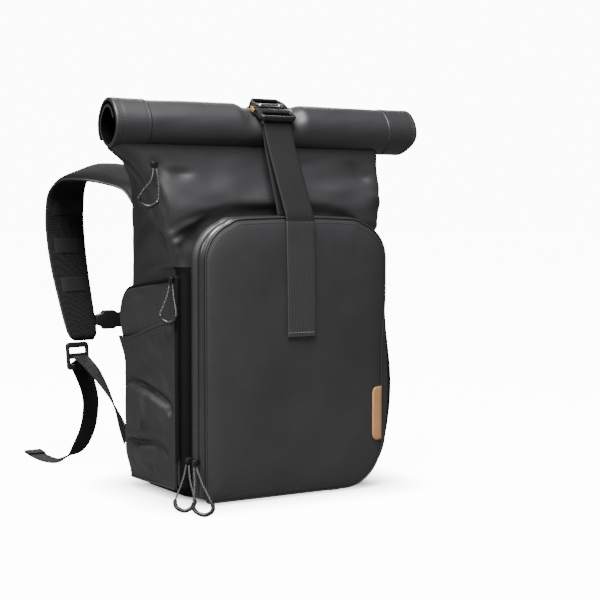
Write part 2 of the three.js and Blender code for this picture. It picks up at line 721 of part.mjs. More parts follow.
function pocketPoint(side, u, v, layer) {
  const tuck = POCKET_TUCK * (1 - smooth(v / 0.2));
  const y = mix(POCKET_FRONT_Y, POCKET_BACK_Y - tuck, u);
  const mouth = mix(POCKET_MOUTH_FRONT, POCKET_MOUTH_BACK, smooth(u * 1.2));
  const z = mix(POCKET_BOTTOM_Z, mouth, v);
  const rim = Math.min(u, 1 - u, v * 1.4);
  const full = smooth(rim / 0.22);
  const door = sideDoorLift(y, z);
  const taper = mix(0.45, 1, smooth(v * 1.6));
  const room = POCKET_ROOM * taper * mix(0.35, 1, smooth(u / 0.6)) * full;
  const proud = Math.max(door * 1.05 + GAP, POCKET_SIDE_EDGE) + room * (1 - 0.55 * v * v);
  const out = BODY_HALF_WIDTH + GAP + proud - pocketFold(u, v) * full + layer * POCKET_WALL;
  return vec(side * out, y, z);
}

function sidePocket(side) {
  const grid = (layer) =>
    Array.from({ length: POCKET_STEPS + 1 }, (_, row) =>
      Array.from({ length: POCKET_STEPS + 1 }, (_, column) =>
        pocketPoint(side, column / POCKET_STEPS, row / POCKET_STEPS, layer),
      ),
    );
  return sheetBody(grid(1), grid(0));
}

const SIDES = [
  { name: "left", side: -1 },
  { name: "right", side: 1 },
];
for (const { name, side } of SIDES) {
  add(`side_door_${name}`, sideDoor(side), cloth());
  add(`side_pocket_${name}`, sidePocket(side), stretchCloth());
}

// Roll: a spiral of double cloth, wound forward over the top, open at both ends. It has a crease
// along its top and is pressed in under the buckle, where press is 1.
const fromAngle = (angle, middle) => ((angle - middle + 900) % 360) - 180;
function rollRadius(angle, press = 0) {
  const crease = bell(fromAngle(angle, 90) / 55);
  const dent = press * bell(fromAngle(angle, BUCKLE_ANGLE_DEG) / 80);
  return ROLL_RADIUS + ROLL_CREASE * (crease - 0.4) - ROLL_DENT * dent;
}

function rollOutline(extra, press) {
  const steps = 22;
  const spiral = (offset) =>
    Array.from({ length: steps + 1 }, (_, i) => {
      const turned = (i / steps) * ROLL_TURNS * 360;
      const angle = ROLL_START_DEG + turned;
      const layer = smooth((turned - 360 + ROLL_SEAM_DEG) / ROLL_SEAM_DEG) + clamp01((turned - 360) / 360);
      const radius = rollRadius(angle, press) - layer * ROLL_PITCH + offset;
      return [ROLL_Y + radius * Math.cos(angle * DEG), ROLL_Z + radius * Math.sin(angle * DEG)];
    });
  return [...spiral(extra), ...spiral(-ROLL_WALL).reverse()];
}

// A stretch of the roll through stations of x, press and how much its lower side is cut back.
function rollPiece(stations, extra) {
  return closedLoft(
    stations.map(({ x, press = 0, cut = 0 }) =>
      rollOutline(extra, press).map(([y, z]) =>
        vec(x - cut * clamp01((ROLL_Z - z) / ROLL_RADIUS) ** 2, y, z),
      ),
    ),
  );
}
const BAND_EDGE = ROLL_HALF_LENGTH - BAND_WIDTH;
const PRESS_HALF_WIDTH = BUCKLE_HALF_WIDTH + 4;
add("roll_center", rollPiece([
  { x: -BAND_EDGE + GAP },
  { x: -PRESS_HALF_WIDTH * 1.7 },
  { x: -PRESS_HALF_WIDTH, press: 1 },
  { x: PRESS_HALF_WIDTH, press: 1 },
  { x: PRESS_HALF_WIDTH * 1.7 },
  { x: BAND_EDGE - GAP },
], 0), cloth());
add("roll_band_left", rollPiece([{ x: -ROLL_HALF_LENGTH }, { x: -BAND_EDGE }], BAND_EXTRA), cloth());
add("roll_band_right", rollPiece(
  [{ x: BAND_EDGE }, { x: ROLL_HALF_LENGTH, cut: ROLL_END_CUT }], BAND_EXTRA,
), cloth());

// Buckle: u across, v down the tangent of the roll, w out of it
const buckleAngle = BUCKLE_ANGLE_DEG * DEG;
const buckleOut = vec(0, Math.cos(buckleAngle), Math.sin(buckleAngle));
const buckleDown = vec(0, -Math.sin(buckleAngle), Math.cos(buckleAngle));
const BUCKLE_LIFT = WEBBING_THICKNESS + 3 * GAP;
const buckleSeat = vec(0, ROLL_Y, ROLL_Z).addScaledVector(
  buckleOut, rollRadius(BUCKLE_ANGLE_DEG, 1) + BUCKLE_LIFT,
);
const buckleBasis = new THREE.Matrix4().makeBasis(vec(-1, 0, 0), buckleDown, buckleOut).setPosition(buckleSeat);

function onBuckle(geometry, lift = 0) {
  return geometry.translate(0, 0, lift).applyMatrix4(buckleBasis);
}

function buckleFrame() {
  const w = BUCKLE_HALF_WIDTH;
  const end = BUCKLE_HALF_LENGTH;
  const outline = [
    [-w, BUCKLE_SPLIT], [w, BUCKLE_SPLIT], [w, end - BUCKLE_CHAMFER / 2],
    [w - BUCKLE_CHAMFER / 2, end], [-w + BUCKLE_CHAMFER / 2, end], [-w, end - BUCKLE_CHAMFER / 2],
  ];
  const slotEnd = end - BUCKLE_BAR;
  const slot = rectangle(-w + BUCKLE_BAR, slotEnd - BUCKLE_SLOT, w - BUCKLE_BAR, slotEnd).reverse();
  return plate(outline, BUCKLE_THICKNESS, [slot]);
}

function buckleBody() {
  const w = BUCKLE_HALF_WIDTH;
  const end = -BUCKLE_HALF_LENGTH;
  const outline = [
    [-w, -BUCKLE_SPLIT + GAP], [-w, end + BUCKLE_CHAMFER * 1.4], [-w + BUCKLE_CHAMFER, end],
    [w - BUCKLE_CHAMFER, end], [w, end + BUCKLE_CHAMFER * 1.4], [w, -BUCKLE_SPLIT + GAP],
  ];
  const slotStart = end + BUCKLE_BAR;
  const reach = w - BUCKLE_CHAMFER;
  const slot = rectangle(-reach, slotStart, reach, slotStart + BUCKLE_SLOT);
  return plate(outline.reverse(), BUCKLE_THICKNESS, [slot]);
}
add("buckle_frame", onBuckle(buckleFrame()), metal());
add("buckle_body", onBuckle(buckleBody()), metal());
for (const { name, side } of SIDES) {
  const rivet = new THREE.CylinderGeometry(RIVET_RADIUS * 0.7, RIVET_RADIUS, RIVET_HEIGHT, 10);
  rivet.rotateX(90 * DEG).translate(-side * RIVET_SPREAD, -BUCKLE_SPLIT - RIVET_RADIUS * 2, RIVET_HEIGHT / 2);
  add(`buckle_rivet_${name}`, onBuckle(rivet, BUCKLE_THICKNESS + GAP), steel());
  const tab = new THREE.BoxGeometry(TAB_WIDTH, TAB_LENGTH, TAB_HEIGHT);
  tab.translate(-side * (BUCKLE_HALF_WIDTH + GAP + TAB_WIDTH / 2), 0, BUCKLE_THICKNESS / 2);
  add(`buckle_tab_${name}`, onBuckle(tab), brass());
}

// Webbing
const X_AXIS = vec(1, 0, 0);
const rowsAcross = (points, across) => points.map((at) => ({ at, across }));
const rollPoint = (angle, lift) => {
  const radius = rollRadius(angle, 1) + lift;
  return vec(0, ROLL_Y + radius * Math.cos(angle * DEG), ROLL_Z + radius * Math.sin(angle * DEG));
};
const WEB_LIFT = WEBBING_THICKNESS / 2 + GAP;

function strapOver() {
  const points = [vec(0, middleY(BACK_PANEL_TOP + 4, "backY") + WEB_LIFT + 0.6, BACK_PANEL_TOP + 4)];
  for (const row of NECK_ROWS.filter((row) => row.rise > 0.6 && row.rise < 0.99).map(neckRow))
    points.push(vec(0, row.backY + WEB_LIFT + 2, row.z));
  for (let angle = -20; angle <= 92; angle += 14) points.push(rollPoint(angle, WEB_LIFT + 0.4));
  return closedLoft(ribbon(rowsAcross(points, X_AXIS), WEBBING_WIDTH, WEBBING_THICKNESS));
}
add("strap_over", strapOver(), webbing());

// The buckle's front bar, where both front straps start
const barCentre = buckleSeat.clone().addScaledVector(buckleDown, BUCKLE_HALF_LENGTH - BUCKLE_BAR / 2);
const frontDepthAt = (z) => doorFaceDepth(0, z) + WEB_LIFT + 1;

function strapTail() {
  const start = barCentre.clone().addScaledVector(buckleOut, -WEB_LIFT);
  const edgeZ = DOOR_HEIGHT + DOOR_TOP_ARCH;
  const hang = { y: FRONT * frontDepthAt(edgeZ - 22), z: edgeZ - 4 };
  const points = [start];
  for (const [t, sag] of [[0.1, 2.2], [0.3, 3], [0.55, 1.5], [0.8, 0]])
    points.push(vec(0, mix(start.y, hang.y, t) + sag, mix(start.z - 2, hang.z, t)));
  points.push(vec(0, hang.y, hang.z));
  for (const share of [0.15, 0.4, 0.7, 1]) {
    const z = mix(edgeZ - 16, TAIL_END_Z, share);
    points.push(vec(0, FRONT * frontDepthAt(z), z));
  }
  return closedLoft(ribbon(rowsAcross(points, X_AXIS), WEBBING_WIDTH, WEBBING_THICKNESS));
}
add("strap_tail", strapTail(), webbing());

// The fixed strap runs down behind the tail into the seam behind the pocket's top edge.
function strapAnchor() {
  const start = barCentre.clone().addScaledVector(buckleOut, -WEB_LIFT);
  start.y += WEBBING_THICKNESS + 0.5;
  start.z -= 3;
  const seat = vec(0, FRONT * (BODY_FRONT + GAP + DOOR_DEPTH * 0.74), DOOR_HEIGHT + DOOR_TOP_ARCH + 1.1);
  const points = [start];
  for (const [t, sag] of [[0.12, 3], [0.3, 4.5], [0.5, 3], [0.8, 1]])
    points.push(vec(0, mix(start.y, seat.y, t) + sag, mix(start.z, seat.z, t)));
  points.push(seat);
  return closedLoft(ribbon(rowsAcross(points, X_AXIS), WEBBING_WIDTH, WEBBING_THICKNESS));
}
add("strap_anchor", strapAnchor(), webbing());

// Back panel and grab handle
function backPanel() {
  const layer = (inset, height) =>
    roundedRectangle(
      -BACK_PANEL_HALF_WIDTH + inset, BACK_PANEL_BOTTOM + inset,
      BACK_PANEL_HALF_WIDTH - inset, BACK_PANEL_TOP - inset, BACK_PANEL_CORNER - inset / 2,
    ).map(([x, z]) => vec(x, BODY_BACK + GAP + height, z));
  return closedLoft([
    layer(0, 0), layer(0, BACK_PANEL_THICKNESS * 0.5),
    layer(3, BACK_PANEL_THICKNESS * 0.9), layer(9, BACK_PANEL_THICKNESS),
  ]);
}
add("back_panel", backPanel(), mesh3d());

const BACK_FACE = BODY_BACK + GAP + BACK_PANEL_THICKNESS + GAP;

function grabHandle() {
  const rows = [];
  for (let i = 0; i <= 10; i++) {
    const t = i / 10;
    const reach = HANDLE_REACH * Math.sin(Math.PI * t) ** 0.75 + HANDLE_THICKNESS / 2;
    rows.push({ at: vec(mix(-HANDLE_HALF_SPAN, HANDLE_HALF_SPAN, t), BACK_FACE + reach, HANDLE_Z), across: vec(0, 0, 1) });
  }
  return closedLoft(ribbon(rows, HANDLE_WIDTH, HANDLE_THICKNESS));
}
add("grab_handle", grabHandle(), webbing());

// Shoulder straps: centre line and width direction of the left one, from the back panel over
// the arch to the strap's lower end. The right one mirrors it.
const STRAP_ROUTE = [
  { x: -76, y: BACK_FACE + 6, z: 300, wide: [1, 0, 0], narrow: 0.9 },
  { x: -78, y: BACK_FACE + 7, z: 325, wide: [1, 0, 0], narrow: 0.95 },
  { x: -82, y: BACK_FACE + 13, z: 346, wide: [1, 0, 0.05], narrow: 1 },
  { x: -90, y: BACK_FACE + 33, z: 366, wide: [1, 0.1, 0.14], narrow: 1 },
  { x: -104, y: BACK_FACE + 64, z: 378, wide: [1, 0.12, 0.3], narrow: 1 },
  { x: -120, y: BACK_FACE + 98, z: 383, wide: [1, 0.15, 0.35], narrow: 1 },
  { x: -131, y: BACK_FACE + 132, z: 381, wide: [1, 0.15, 0.35], narrow: 1 },
  { x: -137, y: BACK_FACE + 156, z: 362, wide: [1, 0.2, 0.25], narrow: 1 },
  { x: -138, y: BACK_FACE + 164, z: 332, wide: [1, 0.22, 0.1], narrow: 1 },
  { x: -137, y: BACK_FACE + 164, z: 300, wide: [1, 0.22, 0], narrow: 1 },
  { x: -135, y: BACK_FACE + 157, z: 260, wide: [1, 0.22, 0], narrow: 0.96 },
  { x: -132, y: BACK_FACE + 145, z: 218, wide: [1, 0.22, 0], narrow: 0.88 },
  { x: -130, y: BACK_FACE + 131, z: 180, wide: [1, 0.22, 0], narrow: 0.78 },
  { x: -129, y: BACK_FACE + 125, z: 165, wide: [1, 0.22, 0], narrow: 0.6 },
];
const routeRows = (route) =>
  route.map(({ x, y, z, wide, narrow = 1 }) => ({ at: vec(x, y, z), across: vec(...wide), narrow }));

// Lower webbing from the strap's lock to the tab at the body's lower corner, with its half twist.
const LOWER_ROUTE = [
  { x: -137, y: BACK_FACE + 119.4, z: 145, wide: [1, 0.22, 0] },
  { x: -131, y: BACK_FACE + 98, z: 132, wide: [0.95, 0.2, -0.2] },
  { x: -126, y: BACK_FACE + 75, z: 113, wide: [0.8, 0.35, -0.4] },
  { x: -123, y: BACK_FACE + 50, z: 91, wide: [0.55, 0.55, -0.6] },
  { x: -122, y: BACK_FACE + 28, z: 68, wide: [0.2, 0.7, -0.65] },
  { x: -122, y: BACK_FACE + 10, z: 50, wide: [0.05, 0.72, -0.68] },
];
// Free end of the webbing, from the lock down to the floor.
const TAIL_ROUTE = [
  { x: -138, y: BACK_FACE + 128.2, z: 140, wide: [1, 0.22, 0] },
  { x: -128, y: BACK_FACE + 133, z: 122, wide: [1, 0.25, 0.2] },
  { x: -118, y: BACK_FACE + 138, z: 102, wide: [1, 0.2, 0.2] },
  { x: -113, y: BACK_FACE + 141, z: 78, wide: [1, 0.2, 0.1] },
  { x: -117, y: BACK_FACE + 143, z: 46, wide: [1, 0.2, 0] },
  { x: -129, y: BACK_FACE + 148, z: 20, wide: [1, 0.2, 0.2] },
  { x: -144, y: BACK_FACE + 158, z: 6, wide: [0.9, 0.4, 0.3] },
  { x: -154, y: BACK_FACE + 176, z: 1.6, wide: [0.9, 0.4, 0.05] },
  { x: -158, y: BACK_FACE + 205, z: 2.6, wide: [1, 0.2, 0] },
  { x: -160, y: BACK_FACE + 232, z: 6, wide: [1, 0.1, 0] },
];

// Strap lock: a ladder of three bars
function ladderLock() {
  const half = LOCK_WIDTH / 2;
  const bar = (LOCK_LENGTH - 2 * LOCK_SLOT) / 3;
  const outline = roundedRectangle(-half, 0, half, LOCK_LENGTH, 5, 2);
  const holes = [0, 1].map((i) => {
    const low = bar + i * (bar + LOCK_SLOT);
    return rectangle(-half + 4, low, half - 4, low + LOCK_SLOT).reverse();
  });
  return plate(outline, LOCK_THICKNESS, holes).translate(0, 0, -LOCK_THICKNESS / 2);
}

// A tab of folded cloth at the body's lower corner, which holds the lower webbing.
function strapTab(side) {
  const y = BACK_FACE - BACK_PANEL_THICKNESS - GAP;
  const outline = [[100, 20], [116, 30], [125, 44], [121, 66], [112, 60], [100, 52]];
  const layer = (height) => outline.map(([x, z]) => vec(side * x, y + height, z));
  return closedLoft([layer(0), layer(TAB_THICKNESS)]);
}

const LOCK_SEAT = vec(-139, BACK_FACE + 125, 163);
const LOCK_DOWN = vec(0.02, -0.1, -1).normalize();

for (const { name, side } of SIDES) {
  const strap = (route, width, thickness, rounded) =>
    closedLoft(onSide(ribbon(refined(routeRows(route), 2), width, thickness, rounded), side));
  add(`shoulder_strap_${name}`, strap(STRAP_ROUTE, STRAP_WIDTH, STRAP_THICKNESS, true), mesh3d());
  add(`lower_webbing_${name}`, strap(LOWER_ROUTE, LOWER_WIDTH, LOWER_THICKNESS), webbing());
  add(`webbing_tail_${name}`, strap(TAIL_ROUTE, LOWER_WIDTH, LOWER_THICKNESS), webbing());
  add(`strap_tab_${name}`, strapTab(side), cloth());
  const seat = vec(-side * LOCK_SEAT.x, LOCK_SEAT.y, LOCK_SEAT.z);
  const down = vec(-side * LOCK_DOWN.x, LOCK_DOWN.y, LOCK_DOWN.z);
  const across = vec(1, side * -0.22, 0).projectOnPlane(down).normalize();
  const basis = new THREE.Matrix4().makeBasis(across, down, across.clone().cross(down)).setPosition(seat);
  add(`ladder_lock_${name}`, ladderLock().applyMatrix4(basis), plastic());
}

// Sternum strap between the shoulder straps, with its buckle near the left one
const STERNUM_REACH = 107;
const STERNUM_Y = BACK_FACE + 139;
function sternumWebbing() {
  const rows = [];
  for (let i = 0; i <= 6; i++) {
    const x = mix(-STERNUM_REACH + STERNUM_BUCKLE_LENGTH + GAP, STERNUM_REACH, i / 6);
    const sag = 3 * (1 - (x / STERNUM_REACH) ** 2);
    rows.push({ at: vec(x, STERNUM_Y, STERNUM_Z - sag), across: vec(0, 0, 1) });
  }
  return closedLoft(ribbon(rows, STERNUM_WIDTH, LOWER_THICKNESS));
}
add("sternum_webbing", sternumWebbing(), webbing());

function sternumBuckle() {
  const h = STERNUM_BUCKLE_HEIGHT / 2;
  const outline = [
    [0, -0.5 * h], [0.25, -0.7 * h], [0.35, -h], [0.75, -h], [1, -0.7 * h],
    [1, 0.7 * h], [0.75, h], [0.35, h], [0.25, 0.7 * h], [0, 0.5 * h],
  ].map(([share, z]) => [-STERNUM_REACH + share * STERNUM_BUCKLE_LENGTH, z + STERNUM_Z - 1.4]);
  const geometry = plate(outline, STERNUM_BUCKLE_THICKNESS).rotateX(90 * DEG);
  return geometry.translate(0, STERNUM_Y + STERNUM_BUCKLE_THICKNESS / 2, 0);
}
add("sternum_buckle", sternumBuckle(), plastic());

// Zip pulls: each is a cord loop from its slider, with a moulded sleeve round its far end.
// The cord's points run down one strand, round the far end and up the other strand, and are
// measured from the middle of its slider.
const PULL_ROUTES = {
  neck: [
    [-1.5, -1.1, -3.8], [-3, -2.9, -10.8], [-6, -3.1, -18.8], [-11, 0.9, -26.8], [-15, 5.9, -34.8],
    [-15.5, 7.9, -39.8], [-13, 6.9, -43.8], [-6, 2.9, -47.2], [1, -1.1, -43.8], [3.7, -2.6, -39.8],
    [4, -3.1, -34.8], [3.5, -4.1, -26.8], [2.5, -5.6, -18.8], [1.7, -4.5, -10.8], [1.4, -1.5, -3.8],
  ],
  side: [
    [-0.5, 1.3, -4.2], [-2.1, 1, -11.2], [-4.6, 1, -19.2], [-8.1, 0.5, -27.2], [-12.3, 0, -35.2],
    [-13.4, 0.2, -40.2], [-11.4, -1.8, -45.7], [-6.4, -6.8, -48.8], [-1.9, -11.8, -45.7],
    [-0.4, -13.8, -40.2], [-0.1, -13.1, -35.2], [0.3, -9.5, -27.2], [0.7, -6, -19.2],
    [1.1, -3, -11.2], [1.4, -1.3, -4.2],
  ],
  low_rear: [
    [-2.2, 2, -4.6], [-8.2, -6, -11.4], [-14.5, -13.7, -18.2], [-21.5, -21, -25],
    [-28.9, -28, -31.9], [-34.3, -33.5, -37], [-36.7, -38.7, -41], [-36.1, -44.3, -44.1],
    [-31.7, -50.3, -46], [-24.5, -51.3, -44.1], [-19.1, -49.1, -41], [-15.7, -44.5, -37],
    [-13.5, -37.2, -31.9], [-10.9, -27.4, -25], [-7.7, -17.7, -18.2], [-4, -8.4, -11.4],
    [0.4, 0.5, -4.6],
  ],
  low_front: [
    [-1.3, 2.1, -4.6], [-6.2, -9.1, -11.6], [-11.6, -20, -18.7], [-17.5, -30.8, -25.7],
    [-24, -41.3, -32.8], [-28.5, -48.9, -37.8], [-30, -54.8, -41.3], [-28.5, -60.8, -44.3],
    [-22.9, -65.9, -46], [-15.3, -65.2, -44.3], [-10.4, -61.4, -41.3], [-8.1, -55.9, -37.8],
    [-7, -47.1, -32.8], [-5.7, -34.8, -25.7], [-4, -22.6, -18.7], [-1.6, -10.7, -11.6],
    [1.4, 0.9, -4.6],
  ],
};
// Sliders: centre and size of each; a cord leaves its slider's lower end.
const SLIDERS = {
  neck: { at: [-BODY_HALF_WIDTH - 0.4267 * MOUTH_FLARE, -51.9, 384.8], size: [8, 7, 7] },
  side: { at: [-BODY_HALF_WIDTH - 6.9, -41.5, 254.2], size: [5, 7, 7] },
  low_rear: { at: [-DOOR_HALF_WIDTH - 5, -BODY_FRONT - 12.3, 48.6], size: [7.4, 6, 6.6] },
  low_front: { at: [-DOOR_HALF_WIDTH - 5, -BODY_FRONT - 28.6, 48.6], size: [7.4, 6, 6.6] },
};
// The stretch of the loop that its sleeve covers, as shares of the cord's length
const SLEEVE_FROM = 0.36;
const SLEEVE_TO = 0.64;
const SLEEVE_STEPS = 10;

function cordTube(curve) {
  const section = new THREE.Shape();
  for (let i = 0; i < CORD_SIDES; i++) {
    const angle = ((i + 0.5) / CORD_SIDES) * 2 * Math.PI;
    const x = (PULL_CORD / 2) * Math.cos(angle);
    const y = (PULL_CORD / 2) * Math.sin(angle);
    if (i === 0) section.moveTo(x, y);
    else section.lineTo(x, y);
  }
  section.closePath();
  const steps = Math.round(curve.getLength() / CORD_STEP);
  return new THREE.ExtrudeGeometry(section, { steps, extrudePath: curve, bevelEnabled: false });
}

// A sleeve round part of a curve: an outer and an inner tube joined at both ends.
function sleeve(curve) {
  const sides = 6;
  const frame = curve.getPointAt(0.5).sub(curve.getPointAt(0)).normalize();
  const across = curve.getPointAt(0.4).sub(curve.getPointAt(0.6)).normalize();
  const planeNormal = frame.cross(across).normalize();
  const rings = (radius) =>
    Array.from({ length: SLEEVE_STEPS + 1 }, (_, step) => {
      const u = mix(SLEEVE_FROM, SLEEVE_TO, step / SLEEVE_STEPS);
      const at = curve.getPointAt(u);
      const out = curve.getTangentAt(u).cross(planeNormal).normalize();
      return Array.from({ length: sides }, (_, i) => {
        const angle = (i / sides) * 2 * Math.PI;
        return at.clone()
          .addScaledVector(planeNormal, radius * Math.cos(angle))
          .addScaledVector(out, radius * Math.sin(angle));
      });
    });
  const outer = rings(SLEEVE_OUTER);
  const inner = rings(SLEEVE_INNER).reverse();
  const all = [...outer, ...inner];
  const triangles = [];
  all.forEach((ring, row) => {
    const next = ((row + 1) % all.length) * sides;
    for (let i = 0; i < sides; i++) {
      const j = (i + 1) % sides;
      const a = row * sides;
      triangles.push([a + i, a + j, next + j], [a + i, next + j, next + i]);
    }
  });
  return closedBody(all.flat(), triangles);
}

for (const [name, route] of Object.entries(PULL_ROUTES)) {
  const { at, size } = SLIDERS[name];
  const points = route.map(([x, y, z]) => vec(at[0] + x, at[1] + y, at[2] + z));
  const curve = new THREE.CatmullRomCurve3(points);
  add(`pull_cord_${name}`, cordTube(curve), cordFinish());
  add(`pull_ring_${name}`, sleeve(curve), plastic());
  add(`zip_slider_${name}`, new THREE.BoxGeometry(...size).translate(...at), metal());
}

export default backpack;
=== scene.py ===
"""Camera backpack with a rolled top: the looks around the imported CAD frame.

Sizes are in millimetres in the tables and in metres in Blender. The frame is the CAD's: +X is the
viewer's right, the front pocket looks along -Y, the shoulder straps are at +Y, +Z is up.
"""

import logging
import math
from dataclasses import dataclass, replace
from enum import Enum

import bmesh
import bpy
import numpy as np
from bpy.types import Material, Node, NodeSocket, NodeTree, Object
from mathutils import Matrix, Vector

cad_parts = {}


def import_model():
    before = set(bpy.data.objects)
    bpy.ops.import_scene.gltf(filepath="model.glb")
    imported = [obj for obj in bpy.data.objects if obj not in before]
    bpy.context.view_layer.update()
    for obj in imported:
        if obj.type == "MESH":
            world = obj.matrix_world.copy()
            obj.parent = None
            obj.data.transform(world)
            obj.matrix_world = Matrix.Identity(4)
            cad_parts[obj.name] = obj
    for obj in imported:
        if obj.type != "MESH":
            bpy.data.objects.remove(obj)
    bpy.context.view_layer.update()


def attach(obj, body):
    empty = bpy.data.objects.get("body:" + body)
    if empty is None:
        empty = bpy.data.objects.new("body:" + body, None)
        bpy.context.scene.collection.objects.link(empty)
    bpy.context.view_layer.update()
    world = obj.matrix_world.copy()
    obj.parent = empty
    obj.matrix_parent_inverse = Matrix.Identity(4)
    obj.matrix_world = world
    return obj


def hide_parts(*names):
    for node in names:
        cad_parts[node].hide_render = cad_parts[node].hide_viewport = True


log = logging.getLogger("backpack")

MM = 0.001
GAP = 0.3
X, Y, Z = np.eye(3)

Array = np.ndarray
Color = tuple[float, float, float]
Look = tuple[object, object, object]
Table = tuple[tuple[float, ...], ...]


# Numbers and curves


def smooth(t: Array | float) -> Array:
    """Eases from 0 to 1 as t does."""
    t = np.clip(t, 0.0, 1.0)
    return t * t * (3 - 2 * t)


def bell(t: Array | float) -> Array:
    """A smooth bump, 1 at t = 0 and 0 beyond 1 on both sides."""
    return np.where(np.abs(t) < 1, (1 - np.square(t)) ** 2, 0.0)


def mix(a: Array | float, b: Array | float, t: Array | float) -> Array | float:
    """The value t of the way from a to b."""
    return a + (b - a) * t


def unit(v: Array) -> Array:
    """Vectors of length 1."""
    return v / np.maximum(np.linalg.norm(v, axis=-1, keepdims=True), 1e-9)


def monotone(x: Array, xs: Array, ys: Array) -> Array:
    """A smooth curve through a table's values that doesn't overshoot them.

    Args:
        x: where to read the curve.
        xs: rising places of the table's values.
        ys: the values.

    Returns:
        The curve's value at each x.
    """
    xs, ys = np.asarray(xs, float), np.asarray(ys, float)
    step = np.diff(xs)
    slope = np.diff(ys) / step
    tangent = np.concatenate([[slope[0]], np.zeros(len(xs) - 2), [slope[-1]]])
    for i in range(1, len(xs) - 1):
        if slope[i - 1] * slope[i] > 0:
            w1, w2 = 2 * step[i] + step[i - 1], step[i] + 2 * step[i - 1]
            tangent[i] = (w1 + w2) / (w1 / slope[i - 1] + w2 / slope[i])
    k = np.clip(np.searchsorted(xs, x) - 1, 0, len(xs) - 2)
    t = (np.clip(x, xs[0], xs[-1]) - xs[k]) / step[k]
    t2, t3 = t * t, t * t * t
    return (
        (2 * t3 - 3 * t2 + 1) * ys[k]
        + (t3 - 2 * t2 + t) * step[k] * tangent[k]
        + (3 * t2 - 2 * t3) * ys[k + 1]
        + (t3 - t2) * step[k] * tangent[k + 1]
    )


def through(points: Array, per: int) -> Array:
    """A smooth open path through points, with per steps between neighbours."""
    p = np.asarray(points, float)
    padded = np.vstack([2 * p[0] - p[1], p, 2 * p[-1] - p[-2]])
    path = []
    for i in range(1, len(padded) - 2):
        a, b, c, d = padded[i - 1 : i + 3]
        for t in np.arange(per) / per:
            path.append(
                0.5 * (2 * b + (c - a) * t + (2 * a - 5 * b + 4 * c - d) * t**2 + (3 * b - a - 3 * c + d) * t**3)
            )
    path.append(p[-1])
    return np.array(path)


def lengths(path: Array) -> Array:
    """The distance of each point of a path from its start, along the path."""
    return np.concatenate([[0.0], np.cumsum(np.linalg.norm(np.diff(path, axis=0), axis=1))])


def evenly(path: Array, step: float) -> Array:
    """The path again, with points a step apart."""
    along = lengths(path)
    count = max(2, int(round(along[-1] / step)) + 1)
    at = np.linspace(0, along[-1], count)
    return np.stack([np.interp(at, along, path[:, i]) for i in range(path.shape[1])], 1)


def stretch(path: Array, start: float, end: float) -> Array:
    """The part of a path between two shares of its length."""
    along = lengths(path) / lengths(path)[-1]
    at = np.linspace(start, end, max(4, int(len(path) * (end - start))))
    return np.stack([np.interp(at, along, path[:, i]) for i in range(3)], 1)


@dataclass(frozen=True)
class Ripple:
    """The soft unevenness of cloth: a sum of waves in fixed directions."""

    wavelength: float
    height: float
    seed: int
    waves: int = 9

    def __call__(self, points: Array) -> Array:
        """The height of the unevenness at each point, in millimetres."""
        rng = np.random.RandomState(self.seed)
        flat = points.reshape(-1, 3)
        total = np.zeros(len(flat))
        for _ in range(self.waves):
            direction = unit(rng.normal(size=3)) * rng.uniform(0.6, 1.6)
            total += np.sin(flat @ direction * (2 * math.pi / self.wavelength) + rng.uniform(0, 6.28))
        return (self.height * total / math.sqrt(self.waves)).reshape(points.shape[:-1])


@dataclass(frozen=True)
class Crease:
    """A fold of the cloth along a path of points near its surface: out where height is positive."""

    path: tuple[tuple[float, float, float], ...]
    width: float
    height: float

    def scaled(self, size: Array) -> "Crease":
        """The same crease in a stretched space."""
        return replace(self, path=tuple(tuple(np.array(point) * size) for point in self.path))

    def mirrored(self, share: float = 1.0) -> "Crease":
        """The same fold on the other side of the bag, with a share of its height."""
        return Crease(tuple((-x, y, z) for x, y, z in self.path), self.width, self.height * share)

    def __call__(self, points: Array) -> Array:
        """How far the fold moves each point along its normal."""
        path = through(np.array(self.path), 6)
        along = lengths(path)
        flat = points.reshape(-1, 3)
        nearest = np.full(len(flat), np.inf)
        place = np.zeros(len(flat))
        for i in range(len(path) - 1):
            a, b = path[i], path[i + 1]
            t = np.clip(((flat - a) @ (b - a)) / max(np.dot(b - a, b - a), 1e-9), 0, 1)
            off = np.linalg.norm(flat - (a + t[:, None] * (b - a)), axis=1)
            closer = off < nearest
            nearest[closer] = off[closer]
            place[closer] = (along[i] + t * (along[i + 1] - along[i]))[closer] / along[-1]
        fade = np.sin(np.pi * np.clip(0.12 + 0.76 * place, 0, 1)) ** 0.8
        return (self.height * fade * np.exp(-((nearest / self.width) ** 2))).reshape(points.shape[:-1])


def outward(points: Array, away_from: Array) -> Array:
    """The unit normals of a closed grid, all on the side that lies away from a place."""
    across = (np.roll(points, -1, axis=1) - np.roll(points, 1, axis=1)) / 2
    out = unit(np.cross(np.gradient(points, axis=0), across))
    return out * np.sign(np.sum(out * (points - away_from)))


def relaxed(points: Array, times: int, share: Array) -> Array:
    """A closed grid with its unevenness evened out where share is above 0."""
    for _ in range(times):
        near = (np.roll(points, 1, axis=1) + np.roll(points, -1, axis=1)) / 4 + points / 2
        near[1:-1] = near[1:-1] / 2 + (near[:-2] + near[2:]) / 4
        points = points + (near - points) * share[..., None]
    return points


# Meshes


class Ends(Enum):
    """How a grid's first and last rows are closed."""

    OPEN = "open"
    CAPS = "caps"
    STRIPS = "strips"


